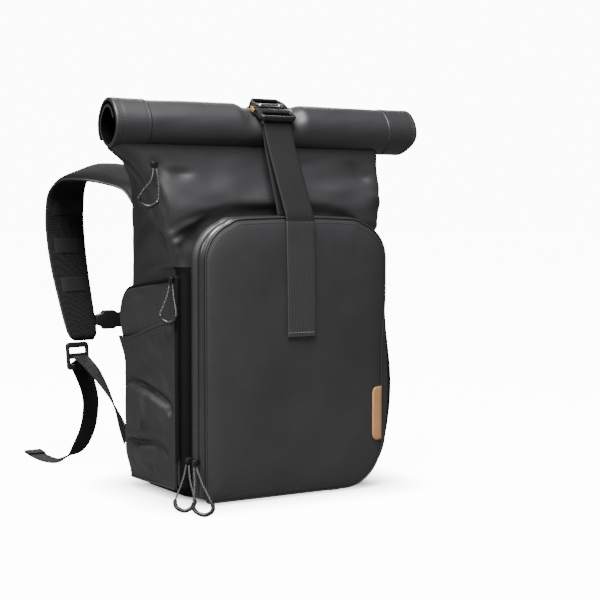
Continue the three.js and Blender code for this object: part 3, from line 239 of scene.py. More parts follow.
@dataclass
class Patch:
    """A grid of points in millimetres, rows by columns, which may close round its columns."""

    points: Array
    wrap: bool = False
    ends: Ends = Ends.OPEN
    material: int | Array = 0

    def slots(self, faces: int) -> list[int]:
        """The material of each face: one for all, one for each column, or one for each face."""
        if isinstance(self.material, int):
            return [self.material] * faces
        if self.material.ndim == 1:
            cells = np.tile(self.material, self.points.shape[0] - 1)
        else:
            cells = self.material.ravel()
        return cells.tolist() + [0] * (faces - len(cells))

    def uv(self) -> Array:
        """Real lengths across and along the grid, in metres."""
        rows, columns = self.points.shape[:2]
        ring = self.points
        if self.wrap:
            ring = np.concatenate([ring, ring[:, :1]], axis=1)
        across = lengths(ring[rows // 2])
        along = lengths(self.points[:, columns // 4])
        u, v = np.meshgrid(across, along)
        return np.stack([u, v], -1) * MM

    def faces(self, offset: int) -> tuple[list[tuple[int, ...]], list[tuple[float, float]]]:
        """The faces with their vertices counted from an offset, and each corner's UV.

        Args:
            offset: the number of the patch's first vertex in the mesh.

        Returns:
            The faces, and the UVs of their corners in the same order.
        """
        rows, columns = self.points.shape[:2]
        uv = self.uv()
        spans = columns if self.wrap else columns - 1
        faces, corners = [], []
        for r in range(rows - 1):
            for c in range(spans):
                n = (c + 1) % columns
                a, b = offset + r * columns, offset + (r + 1) * columns
                faces.append((a + c, a + n, b + n, b + c))
                corners += [tuple(uv[r, c]), tuple(uv[r, c + 1]), tuple(uv[r + 1, c + 1]), tuple(uv[r + 1, c])]
        for row, turned in ((0, True), (rows - 1, False)):
            start = offset + row * columns
            ring = [start + c for c in range(columns)]
            if self.ends is Ends.CAPS:
                faces.append(tuple(reversed(ring)) if turned else tuple(ring))
                corners += [tuple(uv[row, 0])] * columns
            elif self.ends is Ends.STRIPS:
                for c in range(columns // 2 - 1):
                    face = (ring[c], ring[c + 1], ring[-c - 2], ring[-c - 1])
                    faces.append(tuple(reversed(face)) if turned else face)
                    corners += [tuple(uv[row, c])] * 4
        return faces, corners


def mesh_object(name: str, patches: list[Patch], sharp_deg: float = 40.0) -> Object:
    """Makes one object from patches, smooth apart from its sharp edges.

    Args:
        name: the object's name.
        patches: the grids that it is made of.
        sharp_deg: edges that bend more than this stay sharp.

    Returns:
        The object, linked to the scene, in metres.
    """
    vertices, faces, corners, slots = [], [], [], []
    for patch in patches:
        offset = len(vertices)
        vertices += (patch.points.reshape(-1, 3) * MM).tolist()
        new_faces, new_corners = patch.faces(offset)
        faces += new_faces
        corners += new_corners
        slots += patch.slots(len(new_faces))
    mesh = bpy.data.meshes.new(name)
    mesh.from_pydata(vertices, [], faces)
    layer = mesh.uv_layers.new(name="size")
    layer.data.foreach_set("uv", np.array(corners, np.float32).ravel())
    mesh.polygons.foreach_set("material_index", slots)
    mesh.validate()
    obj = bpy.data.objects.new(name, mesh)
    bpy.context.scene.collection.objects.link(obj)
    bpy.context.view_layer.objects.active = obj
    obj.select_set(True)
    fix_normals(obj)
    mesh.shade_smooth()
    mesh.set_sharp_from_angle(angle=math.radians(sharp_deg))
    obj.select_set(False)
    return obj


def fix_normals(obj: Object) -> None:
    """Turns all faces of an object outwards."""
    work = bmesh.new()
    work.from_mesh(obj.data)
    bmesh.ops.remove_doubles(work, verts=work.verts, dist=0.02 * MM)
    bmesh.ops.recalc_face_normals(work, faces=work.faces)
    work.to_mesh(obj.data)
    work.free()


def frames_along(path: Array, reference: Array) -> tuple[Array, Array]:
    """Two directions square to a path at each of its points, without twist.

    Args:
        path: the points.
        reference: a direction that the first one starts near.

    Returns:
        The two directions at each point.
    """
    tangent = unit(np.gradient(path, axis=0))
    side = np.zeros_like(path)
    current = reference - np.dot(reference, tangent[0]) * tangent[0]
    for i, t in enumerate(tangent):
        current = current - np.dot(current, t) * t
        current = current / max(np.linalg.norm(current), 1e-9)
        side[i] = current
    return side, np.cross(tangent, side)


def tube(path: Array, radius: float | Array, sides: int = 8) -> Array:
    """A grid of rings round a path."""
    side, other = frames_along(path, np.array([0.3, 0.2, 1.0]))
    angle = (np.arange(sides) / sides * 2 * math.pi)[None, :, None]
    size = np.broadcast_to(np.asarray(radius, float), (len(path),))[:, None, None]
    return path[:, None] + size * (np.cos(angle) * side[:, None] + np.sin(angle) * other[:, None])


@dataclass(frozen=True)
class Section:
    """A strap's cross-section: points as shares of its width and thickness."""

    points: tuple[tuple[float, float], ...]

    @staticmethod
    def webbing() -> "Section":
        """A flat band with rounded selvedges."""
        top = [(x, 0.5) for x in np.linspace(-0.46, 0.46, 13)]
        bottom = [(x, -0.5) for x in np.linspace(0.46, -0.46, 13)]
        return Section(
            tuple(
                [(-0.5, 0.0), (-0.49, 0.35), *top, (0.49, 0.35), (0.5, 0.0), (0.49, -0.35), *bottom, (-0.49, -0.35)]
            )
        )

    @staticmethod
    def pad(count: int = 40) -> "Section":
        """A stuffed band: a flattened oval with a crowned face."""
        angle = np.linspace(0, 2 * math.pi, count, endpoint=False) + math.pi
        x = 0.5 * np.sign(np.cos(angle)) * np.abs(np.cos(angle)) ** 0.55
        y = 0.5 * np.sign(np.sin(angle)) * np.abs(np.sin(angle)) ** 0.75
        return Section(tuple(zip(x.tolist(), y.tolist())))


WEBBING = Section.webbing()


def strap(
    path: Array, across: Array, width: float | Array, thickness: float | Array, section: Section = WEBBING,
) -> Array:
    """A grid of a strap's rings along a path.

    Args:
        path: the centre line.
        across: the direction of the width at each point.
        width: the width, or one at each point.
        thickness: the thickness, or one at each point.
        section: the shape of the ring.

    Returns:
        Rows of ring points.
    """
    along = unit(np.gradient(path, axis=0))
    side = unit(across - np.sum(across * along, axis=1, keepdims=True) * along)
    out = np.cross(side, along)
    shape = np.array(section.points)
    w = np.broadcast_to(np.asarray(width, float), (len(path),))[:, None, None]
    t = np.broadcast_to(np.asarray(thickness, float), (len(path),))[:, None, None]
    return path[:, None] + side[:, None] * shape[None, :, :1] * w + out[:, None] * shape[None, :, 1:] * t


# Finishes


class Tree:
    """A node tree under construction."""

    def __init__(self, tree: NodeTree) -> None:
        """Starts with an empty tree."""
        self.tree = tree
        tree.nodes.clear()

    def add(self, kind: str, **values: object) -> Node:
        """A new node with its properties set."""
        node = self.tree.nodes.new(kind)
        for key, value in values.items():
            setattr(node, key, value)
        return node

    def link(self, source: NodeSocket, target: NodeSocket) -> None:
        """Joins two sockets."""
        self.tree.links.new(source, target)

    def feed(self, socket: NodeSocket, value: object) -> None:
        """Links a socket to another, or sets its value."""
        if isinstance(value, NodeSocket):
            self.link(value, socket)
        else:
            socket.default_value = value

    def math(self, operation: str, a: object, b: object = 0.0, c: object = 0.0) -> NodeSocket:
        """The result of a Math node."""
        node = self.add("ShaderNodeMath", operation=operation)
        for socket, value in zip(node.inputs, (a, b, c)):
            self.feed(socket, value)
        return node.outputs[0]

    def noise(self, vector: object, scale: float, detail: float = 2.0, rough: float = 0.5) -> NodeSocket:
        """Noise at a scale per metre."""
        node = self.add("ShaderNodeTexNoise")
        self.link(vector, node.inputs["Vector"])
        node.inputs["Scale"].default_value = scale
        node.inputs["Detail"].default_value = detail
        node.inputs["Roughness"].default_value = rough
        return node.outputs["Fac"]

    def span(self, value: object, low: float, high: float, to_low: float, to_high: float) -> NodeSocket:
        """Maps a range of values onto another, held at its ends."""
        node = self.add("ShaderNodeMapRange")
        self.feed(node.inputs["Value"], value)
        for name, number in zip(("From Min", "From Max", "To Min", "To Max"), (low, high, to_low, to_high)):
            node.inputs[name].default_value = number
        return node.outputs[0]

    def blend(self, factor: object, a: object, b: object) -> NodeSocket:
        """A mix of two colours."""
        node = self.add("ShaderNodeMix", data_type="RGBA")
        self.feed(node.inputs[0], factor)
        self.feed(node.inputs[6], a)
        self.feed(node.inputs[7], b)
        return node.outputs[2]

    def bump(self, height: object, distance: float, strength: float, below: object = None) -> NodeSocket:
        """The normal of a relief of a given height in metres."""
        node = self.add("ShaderNodeBump")
        node.inputs["Strength"].default_value = strength
        node.inputs["Distance"].default_value = distance
        self.link(height, node.inputs["Height"])
        if below is not None:
            self.link(below, node.inputs["Normal"])
        return node.outputs[0]

    def group(self, tree: NodeTree, **inputs: object) -> Node:
        """A node of a shared group with its inputs fed."""
        node = self.add("ShaderNodeGroup")
        node.node_tree = tree
        for name, value in inputs.items():
            self.feed(node.inputs[name], value)
        return node


class Patterns:
    """The shared effects: each is a node group that puts out masks between 0 and 1."""

    def __init__(self) -> None:
        """Makes the groups."""
        self.ripstop = self._make("Ripstop", self._ripstop, ("Pitch",), ("Lines", "Threads"))
        self.webbing = self._make("Webbing", self._webbing, ("Rib", "Pick"), ("Height",))
        self.airmesh = self._make("Air mesh", self._airmesh, ("Cell",), ("Height",))
        self.braid = self._make("Braid", self._braid, ("Pitch",), ("Height", "Flecks"))

    def _make(self, name: str, fill: object, numbers: tuple[str, ...], masks: tuple[str, ...]) -> NodeTree:
        """A group with a vector and number inputs, and mask outputs."""
        group = bpy.data.node_groups.new(name, "ShaderNodeTree")
        group.interface.new_socket("Vector", in_out="INPUT", socket_type="NodeSocketVector")
        for label in numbers:
            group.interface.new_socket(label, in_out="INPUT", socket_type="NodeSocketFloat")
        for label in masks:
            group.interface.new_socket(label, in_out="OUTPUT", socket_type="NodeSocketFloat")
        tree = Tree(group)
        source = tree.add("NodeGroupInput")
        target = tree.add("NodeGroupOutput")
        for socket, value in zip(target.inputs, fill(tree, source.outputs)):
            tree.link(value, socket)
        return group

    @staticmethod
    def _parts(tree: Tree, vector: object) -> tuple[object, object, object]:
        """The three parts of a vector."""
        node = tree.add("ShaderNodeSeparateXYZ")
        tree.link(vector, node.inputs[0])
        return node.outputs[0], node.outputs[1], node.outputs[2]

    @staticmethod
    def _wave(tree: Tree, value: object, pitch: object) -> object:
        """A wave between 0 and 1 with a pitch."""
        phase = tree.math("MULTIPLY", tree.math("DIVIDE", value, pitch), 2 * math.pi)
        return tree.math("MULTIPLY_ADD", tree.math("SINE", phase), 0.5, 0.5)

    def _ripstop(self, tree: Tree, given: object) -> tuple[object, ...]:
        """Level lines with a fainter upright thread between them, slightly uneven."""
        x, _, z = self._parts(tree, given["Vector"])
        wobble = tree.math("MULTIPLY", tree.noise(given["Vector"], 14.0), 0.0012)
        level = self._wave(tree, tree.math("ADD", z, wobble), given["Pitch"])
        upright = self._wave(tree, tree.math("ADD", x, wobble), given["Pitch"])
        uneven = tree.span(tree.noise(given["Vector"], 60.0), 0.3, 0.7, 0.4, 1.0)
        lines = tree.math("MULTIPLY", tree.math("POWER", level, 3.0), uneven)
        threads = tree.math("MULTIPLY", tree.math("POWER", upright, 4.0), uneven)
        return lines, threads

    def _webbing(self, tree: Tree, given: object) -> tuple[object, ...]:
        """Ribs along the strap, crossed by picks that step from rib to rib."""
        u, v, _ = self._parts(tree, given["Vector"])
        rib = self._wave(tree, u, given["Rib"])
        step = tree.math("MULTIPLY", tree.math("FLOOR", tree.math("DIVIDE", u, given["Rib"])), 0.5)
        shifted = tree.math("ADD", v, tree.math("MULTIPLY", step, given["Pick"]))
        pick = self._wave(tree, shifted, given["Pick"])
        return (tree.math("ADD", tree.math("MULTIPLY", rib, 0.6), tree.math("MULTIPLY", pick, 0.4)),)

    def _airmesh(self, tree: Tree, given: object) -> tuple[object, ...]:
        """Small round holes in staggered rows."""
        cells = tree.add("ShaderNodeTexVoronoi", feature="F1")
        tree.link(given["Vector"], cells.inputs["Vector"])
        tree.link(tree.math("DIVIDE", 1.0, given["Cell"]), cells.inputs["Scale"])
        cells.inputs["Randomness"].default_value = 0.25
        return (tree.span(cells.outputs["Distance"], 0.18, 0.5, 0.0, 1.0),)

    def _braid(self, tree: Tree, given: object) -> tuple[object, ...]:
        """Slanting strands, with pale flecks on some of them."""
        u, v, _ = self._parts(tree, given["Vector"])
        slant = tree.math("ADD", v, tree.math("MULTIPLY", u, 0.8))
        back = tree.math("SUBTRACT", v, tree.math("MULTIPLY", u, 0.8))
        one = self._wave(tree, slant, given["Pitch"])
        two = self._wave(tree, back, given["Pitch"])
        strand = tree.math("MULTIPLY", one, two)
        wide = tree.math("MULTIPLY", given["Pitch"], 2.0)
        fleck = tree.math("MULTIPLY", self._wave(tree, slant, wide), two)
        return strand, tree.math("GREATER_THAN", fleck, 0.62)


def rgba(color: Color, gain: float = 1.0) -> tuple[float, float, float, float]:
    """A colour with its alpha, brightened by a gain."""
    return (*(min(1.0, c * gain) for c in color), 1.0)


@dataclass(frozen=True)
class Finish:
    """What every finish has: its name, a slot, a colour and gloss."""

    name: str
    slot: str
    color: Color
    roughness: float
    metallic: float = 0.0
    specular: float = 0.5

    def build(self, patterns: Patterns) -> Material:
        """The material, with its relief and variation.

        Args:
            patterns: the shared node groups.

        Returns:
            The material.
        """
        material = bpy.data.materials.new(self.name)
        material.use_nodes = True
        tree = Tree(material.node_tree)
        shader = tree.add("ShaderNodeBsdfPrincipled")
        output = tree.add("ShaderNodeOutputMaterial")
        tree.link(shader.outputs[0], output.inputs[0])
        shader.inputs["Metallic"].default_value = self.metallic
        shader.inputs["Specular IOR Level"].default_value = self.specular
        place = tree.add("ShaderNodeTexCoord")
        color, roughness, normal = self.surface(tree, patterns, place.outputs["Object"], place.outputs["UV"])
        tree.feed(shader.inputs["Base Color"], color)
        tree.feed(shader.inputs["Roughness"], roughness)
        if normal is not None:
            tree.link(normal, shader.inputs["Normal"])
        return material

    def surface(self, tree: Tree, patterns: Patterns, place: object, uv: object) -> Look:
        """The colour, roughness and normal of the finish."""
        mottle = tree.noise(place, 40.0, 4.0)
        color = tree.blend(mottle, rgba(self.color, 0.85), rgba(self.color, 1.15))
        roughness = tree.span(tree.noise(place, 220.0), 0.3, 0.7, self.roughness - 0.05, self.roughness + 0.06)
        return color, roughness, tree.bump(tree.noise(place, 3000.0), 0.00004, 0.4)


@dataclass(frozen=True)
class Cloth(Finish):
    """Coated cloth: a fine grain, and level ripstop lines where the pitch isn't 0."""

    grain: float = 0.6
    pitch: float = 0.0
    lines: float = 0.0

    def surface(self, tree: Tree, patterns: Patterns, place: object, uv: object) -> Look:
        """The colour, roughness and normal of the cloth."""
        cloud = tree.span(tree.noise(place, 9.0, 3.0), 0.3, 0.7, 0.0, 1.0)
        color = tree.blend(cloud, rgba(self.color, 0.9), rgba(self.color, 1.12))
        rough = tree.span(tree.noise(place, 30.0, 5.0), 0.3, 0.7, self.roughness - 0.035, self.roughness + 0.035)
        grain = tree.noise(place, 1700.0, 3.0, 0.7)
        normal = tree.bump(grain, 0.00005, self.grain)
        if self.pitch:
            rip = tree.group(patterns.ripstop, Vector=place, Pitch=self.pitch * MM)
            color = tree.blend(tree.math("MULTIPLY", rip.outputs["Lines"], self.lines), color, rgba(self.color, 2.6))
            height = tree.math("ADD", rip.outputs["Lines"], tree.math("MULTIPLY", rip.outputs["Threads"], 0.35))
            normal = tree.bump(height, 0.00006, 0.5, normal)
        return color, rough, normal


@dataclass(frozen=True)
class Webbing(Finish):
    """Woven webbing: ribs along it and picks across, with painted shade in the furrows and painted highlight on the
    ribs.
    """

    rib: float = 2.4
    pick: float = 1.5
    relief: float = 0.7

    def surface(self, tree: Tree, patterns: Patterns, place: object, uv: object) -> Look:
        """The colour, roughness and normal of the webbing."""
        weave = tree.group(patterns.webbing, Vector=uv, Rib=self.rib * MM, Pick=self.pick * MM)
        height = weave.outputs["Height"]
        # Painted shade and highlight: darker down in the weave's furrows, lighter on its raised threads.
        color = tree.blend(height, rgba(self.color, 0.45), rgba(self.color, 1.5))
        fuzz = tree.noise(place, 4000.0, 2.0)
        normal = tree.bump(height, 0.0003, self.relief, tree.bump(fuzz, 0.00008, 0.5))
        return color, tree.span(height, 0.0, 1.0, self.roughness + 0.15, self.roughness - 0.08), normal


@dataclass(frozen=True)
class AirMesh(Finish):
    """Spacer mesh: small holes between rounded threads, with painted shade darkening the holes."""

    cell: float = 2.6

    def surface(self, tree: Tree, patterns: Patterns, place: object, uv: object) -> Look:
        """The colour, roughness and normal of the mesh."""
        mesh = tree.group(patterns.airmesh, Vector=place, Cell=self.cell * MM)
        height = mesh.outputs["Height"]
        # Painted shade: the colour darkens down into the holes.
        color = tree.blend(height, rgba(self.color, 0.2), rgba(self.color, 1.4))
        return color, self.roughness, tree.bump(height, 0.0006, 0.9)


@dataclass(frozen=True)
class Grained(Finish):
    """Leather: a pebbled grain, warmer and darker in its blotches."""

    shade: Color = (0.2, 0.1, 0.05)

    def surface(self, tree: Tree, patterns: Patterns, place: object, uv: object) -> Look:
        """The colour, roughness and normal of the leather."""
        cells = tree.add("ShaderNodeTexVoronoi", feature="F1")
        tree.link(place, cells.inputs["Vector"])
        cells.inputs["Scale"].default_value = 1600.0
        blotch = tree.span(tree.noise(place, 70.0, 5.0, 0.6), 0.35, 0.75, 0.0, 0.35)
        color = tree.blend(blotch, rgba(self.color), rgba(self.shade))
        pebbles = tree.span(cells.outputs["Distance"], 0.0, 0.6, 1.0, 0.0)
        rough = tree.span(pebbles, 0.0, 1.0, self.roughness + 0.1, self.roughness)
        return color, rough, tree.bump(pebbles, 0.0001, 0.5)


@dataclass(frozen=True)
class Braid(Finish):
    """Braided cord with pale flecks."""

    fleck: Color = (0.4, 0.4, 0.4)
    pitch: float = 1.6

    def surface(self, tree: Tree, patterns: Patterns, place: object, uv: object) -> Look:
        """The colour, roughness and normal of the cord."""
        braid = tree.group(patterns.braid, Vector=uv, Pitch=self.pitch * MM)
        color = tree.blend(braid.outputs["Flecks"], rgba(self.color), rgba(self.fleck))
        return color, self.roughness, tree.bump(braid.outputs["Height"], 0.0003, 0.8)


@dataclass(frozen=True)
class Metal(Finish):
    """Coated or bare metal with a fine brushed unevenness."""

    def surface(self, tree: Tree, patterns: Patterns, place: object, uv: object) -> Look:
        """The colour, roughness and normal of the metal."""
        fine = tree.noise(place, 900.0, 4.0, 0.6)
        color = tree.blend(fine, rgba(self.color, 0.9), rgba(self.color, 1.1))
        rough = tree.span(fine, 0.3, 0.7, self.roughness - 0.04, self.roughness + 0.08)
        return color, rough, tree.bump(fine, 0.00002, 0.3)


class Palette:
    """All finishes of the bag, built once each."""

    FINISHES = (
        Cloth("Coated cloth", "coated_cloth", (0.022, 0.022, 0.0235), 0.48, specular=0.55),
        Cloth(
            "Ripstop cloth", "coated_cloth", (0.022, 0.022, 0.0235), 0.48, specular=0.55, grain=0.8, pitch=2.5,
            lines=0.16,
        ),
        Cloth("Stretch cloth", "stretch_cloth", (0.018, 0.018, 0.019), 0.5, specular=0.5, grain=0.9),
        Cloth("Base cloth", "base_cloth", (0.012, 0.012, 0.012), 0.7, grain=1.5),
        Cloth("Piping", "coated_cloth", (0.02, 0.02, 0.021), 0.33, specular=0.6, grain=0.3),
        # Near-black cloth for the roll's inside: painted shade for its dark hollow.
        Cloth("Painted shade lining", "coated_cloth", (0.002, 0.002, 0.002), 0.95, specular=0.04, grain=0.5),
        # Near-black tape: real zip tape, and painted shade where it darkens the body's corner strips and the pocket's
        # seam.
        Cloth("Zip tape and painted shade", "coated_cloth", (0.004, 0.004, 0.0042), 0.75, specular=0.15, grain=1.5),
        Webbing("Webbing", "webbing", (0.006, 0.006, 0.0065), 0.7, specular=0.3),
        # A lit copy of the webbing: glossier, and lighter in colour as a painted sheen on the tail's lower part.
        Webbing("Glossy webbing with painted sheen", "webbing", (0.03, 0.03, 0.031), 0.3, specular=0.8, rib=3.6, pick=2.7, relief=1.0),
        AirMesh("Air mesh", "air_mesh", (0.006, 0.006, 0.0065), 0.9, specular=0.2),
        Cloth("Strap cloth", "coated_cloth", (0.003, 0.003, 0.0033), 0.65, specular=0.2),
        Finish("Black plastic", "black_plastic", (0.012, 0.012, 0.0125), 0.36),
        Finish("Ring plastic", "black_plastic", (0.014, 0.014, 0.015), 0.3),
        Metal("Black metal", "black_metal", (0.02, 0.02, 0.021), 0.28, metallic=0.5),
        Metal("Rivet steel", "steel", (0.75, 0.75, 0.76), 0.22, metallic=1.0),
        Metal("Brass tab", "brass", (0.5, 0.27, 0.1), 0.35, metallic=0.4),
        Grained("Tan leather", "tan_leather", (0.58, 0.3, 0.13), 0.5),
        Braid("Pull cord", "pull_cord", (0.014, 0.014, 0.015), 0.7),
        Cloth("Thread", "webbing", (0.2, 0.2, 0.2), 0.6, grain=0.5),
        Cloth("Dark thread", "coated_cloth", (0.03, 0.03, 0.032), 0.5, grain=0.5),
        Cloth("Thread dull", "coated_cloth", (0.06, 0.06, 0.063), 0.5, grain=0.5),
        Cloth("Brown thread", "tan_leather", (0.3, 0.15, 0.06), 0.6, grain=0.5),
    )

    def __init__(self) -> None:
        """Builds each material."""
        patterns = Patterns()
        self.finishes = {finish.name: finish for finish in self.FINISHES}
        self.materials = {name: finish.build(patterns) for name, finish in self.finishes.items()}

    def dress(self, obj: Object, *names: str) -> None:
        """Gives an object its materials."""
        for name in names:
            obj.data.materials.append(self.materials[name])


class Bench:
    """Where pieces are made: each gets its finish, its CAD nodes to replace, and rides on the frame."""

    def __init__(self, palette: Palette) -> None:
        """Keeps the palette and counts the pieces."""
        self.palette = palette
        self.pieces: list[Object] = []

    def place(self, obj: Object, finishes: tuple[str, ...], replaces: tuple[str, ...] = ()) -> Object:
        """Dresses an object, lets it ride on the frame and reports it.

        Args:
            obj: the finished object.
            finishes: the names of its finishes, the main one first.
            replaces: the CAD nodes that it stands for.

        Returns:
            The object.
        """
        self.palette.dress(obj, *finishes)
        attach(obj, "root")
        if replaces:
            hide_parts(*replaces)
        self.pieces.append(obj)
        log.info("made %s with %d faces", obj.name, len(obj.data.polygons))
        return obj

    def make(
        self,
        name: str,
        patches: list[Patch],
        finishes: tuple[str, ...],
        replaces: tuple[str, ...] = (),
        sharp_deg: float = 40.0,
    ) -> Object:
        """Makes a piece from patches and places it."""
        return self.place(mesh_object(name, patches, sharp_deg), finishes, replaces)

    def solid(
        self, name: str, rows: Array, finish: str, node: str = "", sharp_deg: float = 40.0, ends: Ends = Ends.CAPS
    ) -> Object:
        """Makes a piece from one grid that closes round its columns, for a CAD node where one is named."""
        return self.make(name, [Patch(rows, True, ends)], (finish,), (node,) if node else (), sharp_deg)

    def rod(self, name: str, path: Array, radius: float, finish: str, sides: int = 8) -> Object:
        """Makes a plain round rod or piping along a path."""
        return self.solid(name, tube(path, radius, sides), finish)

    def stitches(
        self, name: str, path: Array, finish: str, length: float, pause: float, radius: float
    ) -> Object:
        """Makes a row of stitches along a path on a surface."""
        line = evenly(path, 0.6)
        along = lengths(line)
        patches = []
        start = 0.0
        while start + length < along[-1]:
            at = np.linspace(start, start + length, 4)
            part = np.stack([np.interp(at, along, line[:, i]) for i in range(3)], 1)
            patches.append(Patch(tube(part, np.array([0.4, 1, 1, 0.4]) * radius, 5), wrap=True, ends=Ends.CAPS))
            start += length + pause
        return self.make(name, patches, (finish,))


def plate(name: str, outline: Array, thickness: float, edge: float, holes: tuple[Array, ...] = ()) -> Object:
    """Makes a flat plate with rounded edges and holes, lying in X and Y about the origin.

    Args:
        name: the object's name.
        outline: the plate's outline as rows of X and Y, in millimetres.
        thickness: its thickness.
        edge: how far its edges are rounded.
        holes: the outlines of its holes.

    Returns:
        The plate as a mesh object.
    """
    curve = bpy.data.curves.new(name + "_outline", "CURVE")
    curve.dimensions = "2D"
    curve.fill_mode = "BOTH"
    curve.extrude = (thickness / 2 - edge) * MM
    curve.bevel_depth = edge * MM
    curve.bevel_resolution = 2
    curve.offset = -edge * MM
    for loop in (outline, *holes):
        spline = curve.splines.new("POLY")
        spline.points.add(len(loop) - 1)
        for point, (x, y) in zip(spline.points, loop):
            point.co = (x * MM, y * MM, 0, 1)
        spline.use_cyclic_u = True
    shape = bpy.data.objects.new(name + "_outline", curve)
    bpy.context.scene.collection.objects.link(shape)
    bpy.context.view_layer.update()
    mesh = bpy.data.meshes.new_from_object(shape)
    bpy.data.objects.remove(shape)
    bpy.data.curves.remove(curve)
    obj = bpy.data.objects.new(name, mesh)
    bpy.context.scene.collection.objects.link(obj)
    fix_normals(obj)
    mesh.shade_smooth()
    mesh.set_sharp_from_angle(angle=math.radians(35))
    return obj


def rounded(x0: float, y0: float, x1: float, y1: float, radius: float, steps: int = 5) -> Array:
    """The outline of a rectangle with rounded corners."""
    points = []
    for x, y, start in (
        (x1 - radius, y0 + radius, -90), (x1 - radius, y1 - radius, 0), (x0 + radius, y1 - radius, 90),
        (x0 + radius, y0 + radius, 180),
    ):
        for i in range(steps + 1):
            angle = math.radians(start + 90 * i / steps)
            points.append((x + radius * math.cos(angle), y + radius * math.sin(angle)))
    return np.array(points)


def seat(obj: Object, x: Array, y: Array, z: Array, at: Array) -> Object:
    """Puts a mesh made about the origin into its place and directions, given in millimetres."""
    matrix = Matrix((
        (x[0], y[0], z[0], at[0] * MM),
        (x[1], y[1], z[1], at[1] * MM),
        (x[2], y[2], z[2], at[2] * MM),
        (0, 0, 0, 1),
    ))
    obj.data.transform(matrix)
    obj.data.update()
    return obj


def joined(name: str, objects: list[Object]) -> Object:
    """Joins mesh objects that share one finish into the first one."""
    work = bmesh.new()
    for obj in objects:
        work.from_mesh(obj.data)
    work.to_mesh(objects[0].data)
    work.free()
    for obj in objects[1:]:
        bpy.data.objects.remove(obj)
    objects[0].name = name
    return objects[0]


# Stage, camera and light


@dataclass
class Studio:
    """The camera at the photograph's place, a pale floor and soft lights."""

    place: tuple[float, float, float] = (-875.88, -1526.68, 327.92)
    yaw: float = 31.63
    pitch: float = 3.36
    lens: float = 86.75
    lamps: tuple[tuple[str, tuple[float, float, float], tuple[float, float], float], ...] = (
        ("Key", (-0.55, -0.75, 2.0), (0.9, 0.9), 110),
        ("Front", (-1.3, -1.7, 1.3), (0.9, 0.9), 11),
        ("Side", (-2.0, 0.2, 1.5), (0.8, 0.9), 24),
        ("Back", (1.3, 2.2, 1.7), (1.2, 1.2), 34),
    )

    def floor_finish(self) -> Material:
        """A pale floor that shines white for the camera, with the shine faded out round the bag as a painted contact
        shadow in which the lamps' real shadow shows.
        """
        material = bpy.data.materials.new("Pale floor")
        material.use_nodes = True
        tree = Tree(material.node_tree)
        paper = tree.add("ShaderNodeBsdfPrincipled")
        paper.inputs["Roughness"].default_value = 0.9
        paper.inputs["Specular IOR Level"].default_value = 0.1
        seen = tree.add("ShaderNodeLightPath").outputs["Is Camera Ray"]
        place = tree.add("ShaderNodeTexCoord").outputs["Object"]
        parts = tree.add("ShaderNodeSeparateXYZ")
        tree.link(place, parts.inputs[0])
        # The shine is taken away over a rounded patch round the bag's footprint: a painted contact shadow.
        x = tree.math("SUBTRACT", tree.math("ABSOLUTE", parts.outputs[0]), 0.10)
        y = tree.math("SUBTRACT", tree.math("ABSOLUTE", parts.outputs[1]), 0.06)
        across = tree.math("POWER", tree.math("MAXIMUM", x, 0.0), 2.0)
        along = tree.math("POWER", tree.math("MAXIMUM", y, 0.0), 2.0)
        away = tree.math("SQRT", tree.math("ADD", across, along))
        glow_outside_painted_shadow = tree.math("POWER", tree.span(away, 0.0, 0.10, 0.0, 1.0), 1.5)
        tree.link(tree.blend(seen, (0.2, 0.2, 0.2, 1), (0.93, 0.93, 0.93, 1)), paper.inputs["Base Color"])
        paper.inputs["Emission Color"].default_value = (1, 1, 1, 1)
        tree.link(tree.math("MULTIPLY", tree.math("MULTIPLY", glow_outside_painted_shadow, seen), 12.0), paper.inputs["Emission Strength"])
        output = tree.add("ShaderNodeOutputMaterial")
        tree.link(paper.outputs[0], output.inputs[0])
        return material

    def world(self) -> None:
        """A white room that lights the bag only softly."""
        world = bpy.data.worlds.new("White room")
        world.use_nodes = True
        tree = Tree(world.node_tree)
        seen = tree.add("ShaderNodeLightPath").outputs["Is Camera Ray"]
        background = tree.add("ShaderNodeBackground")
        background.inputs[0].default_value = (1, 1, 1, 1)
        tree.link(tree.span(seen, 0.0, 1.0, 0.13, 12.0), background.inputs[1])
        output = tree.add("ShaderNodeOutputWorld")
        tree.link(background.outputs[0], output.inputs[0])
        bpy.context.scene.world = world

    def camera(self) -> None:
        """Makes the camera."""
        data = bpy.data.cameras.new("Camera")
        data.lens = self.lens
        data.sensor_width = 36
        data.clip_end = 100
        camera = bpy.data.objects.new("Camera", data)
        camera.location = Vector(self.place) * MM
        camera.rotation_euler = (math.radians(90 - self.pitch), 0, math.radians(-self.yaw))
        bpy.context.scene.collection.objects.link(camera)
        bpy.context.scene.camera = camera
        log.info("camera at %s", self.place)

    def light(self, name: str, at: tuple[float, float, float], size: tuple[float, float], power: float) -> None:
        """Makes an area light that looks at the bag."""
        data = bpy.data.lights.new(name, "AREA")
        data.shape = "RECTANGLE"
        data.size, data.size_y = size
        data.energy = power
        lamp = bpy.data.objects.new(name, data)
        lamp.location = at
        lamp.rotation_euler = (Vector((0, 0, 0.25)) - Vector(at)).to_track_quat("-Z", "Y").to_euler()
        bpy.context.scene.collection.objects.link(lamp)

    def build(self) -> None:
        """Makes the floor, the world and the lights."""
        angle = np.arange(64) / 64 * 2 * math.pi
        rings = [np.stack([r * np.cos(angle), r * np.sin(angle), 0 * angle], 1) for r in (1, 1500, 30000)]
        floor = mesh_object("Floor", [Patch(np.array(rings), wrap=True)])
        floor.location.z = -0.0005
        floor.data.materials.append(self.floor_finish())
        self.world()
        for lamp in self.lamps:
            self.light(*lamp)
        log.info("floor and lights")


# Zip pulls


@dataclass(frozen=True)
class PullShape:
    """One zip pull: its slider and its cord, which runs down one strand and up the other."""

    name: str
    slider: tuple[float, float, float]
    size: tuple[float, float, float]
    route: tuple[tuple[float, float, float], ...]


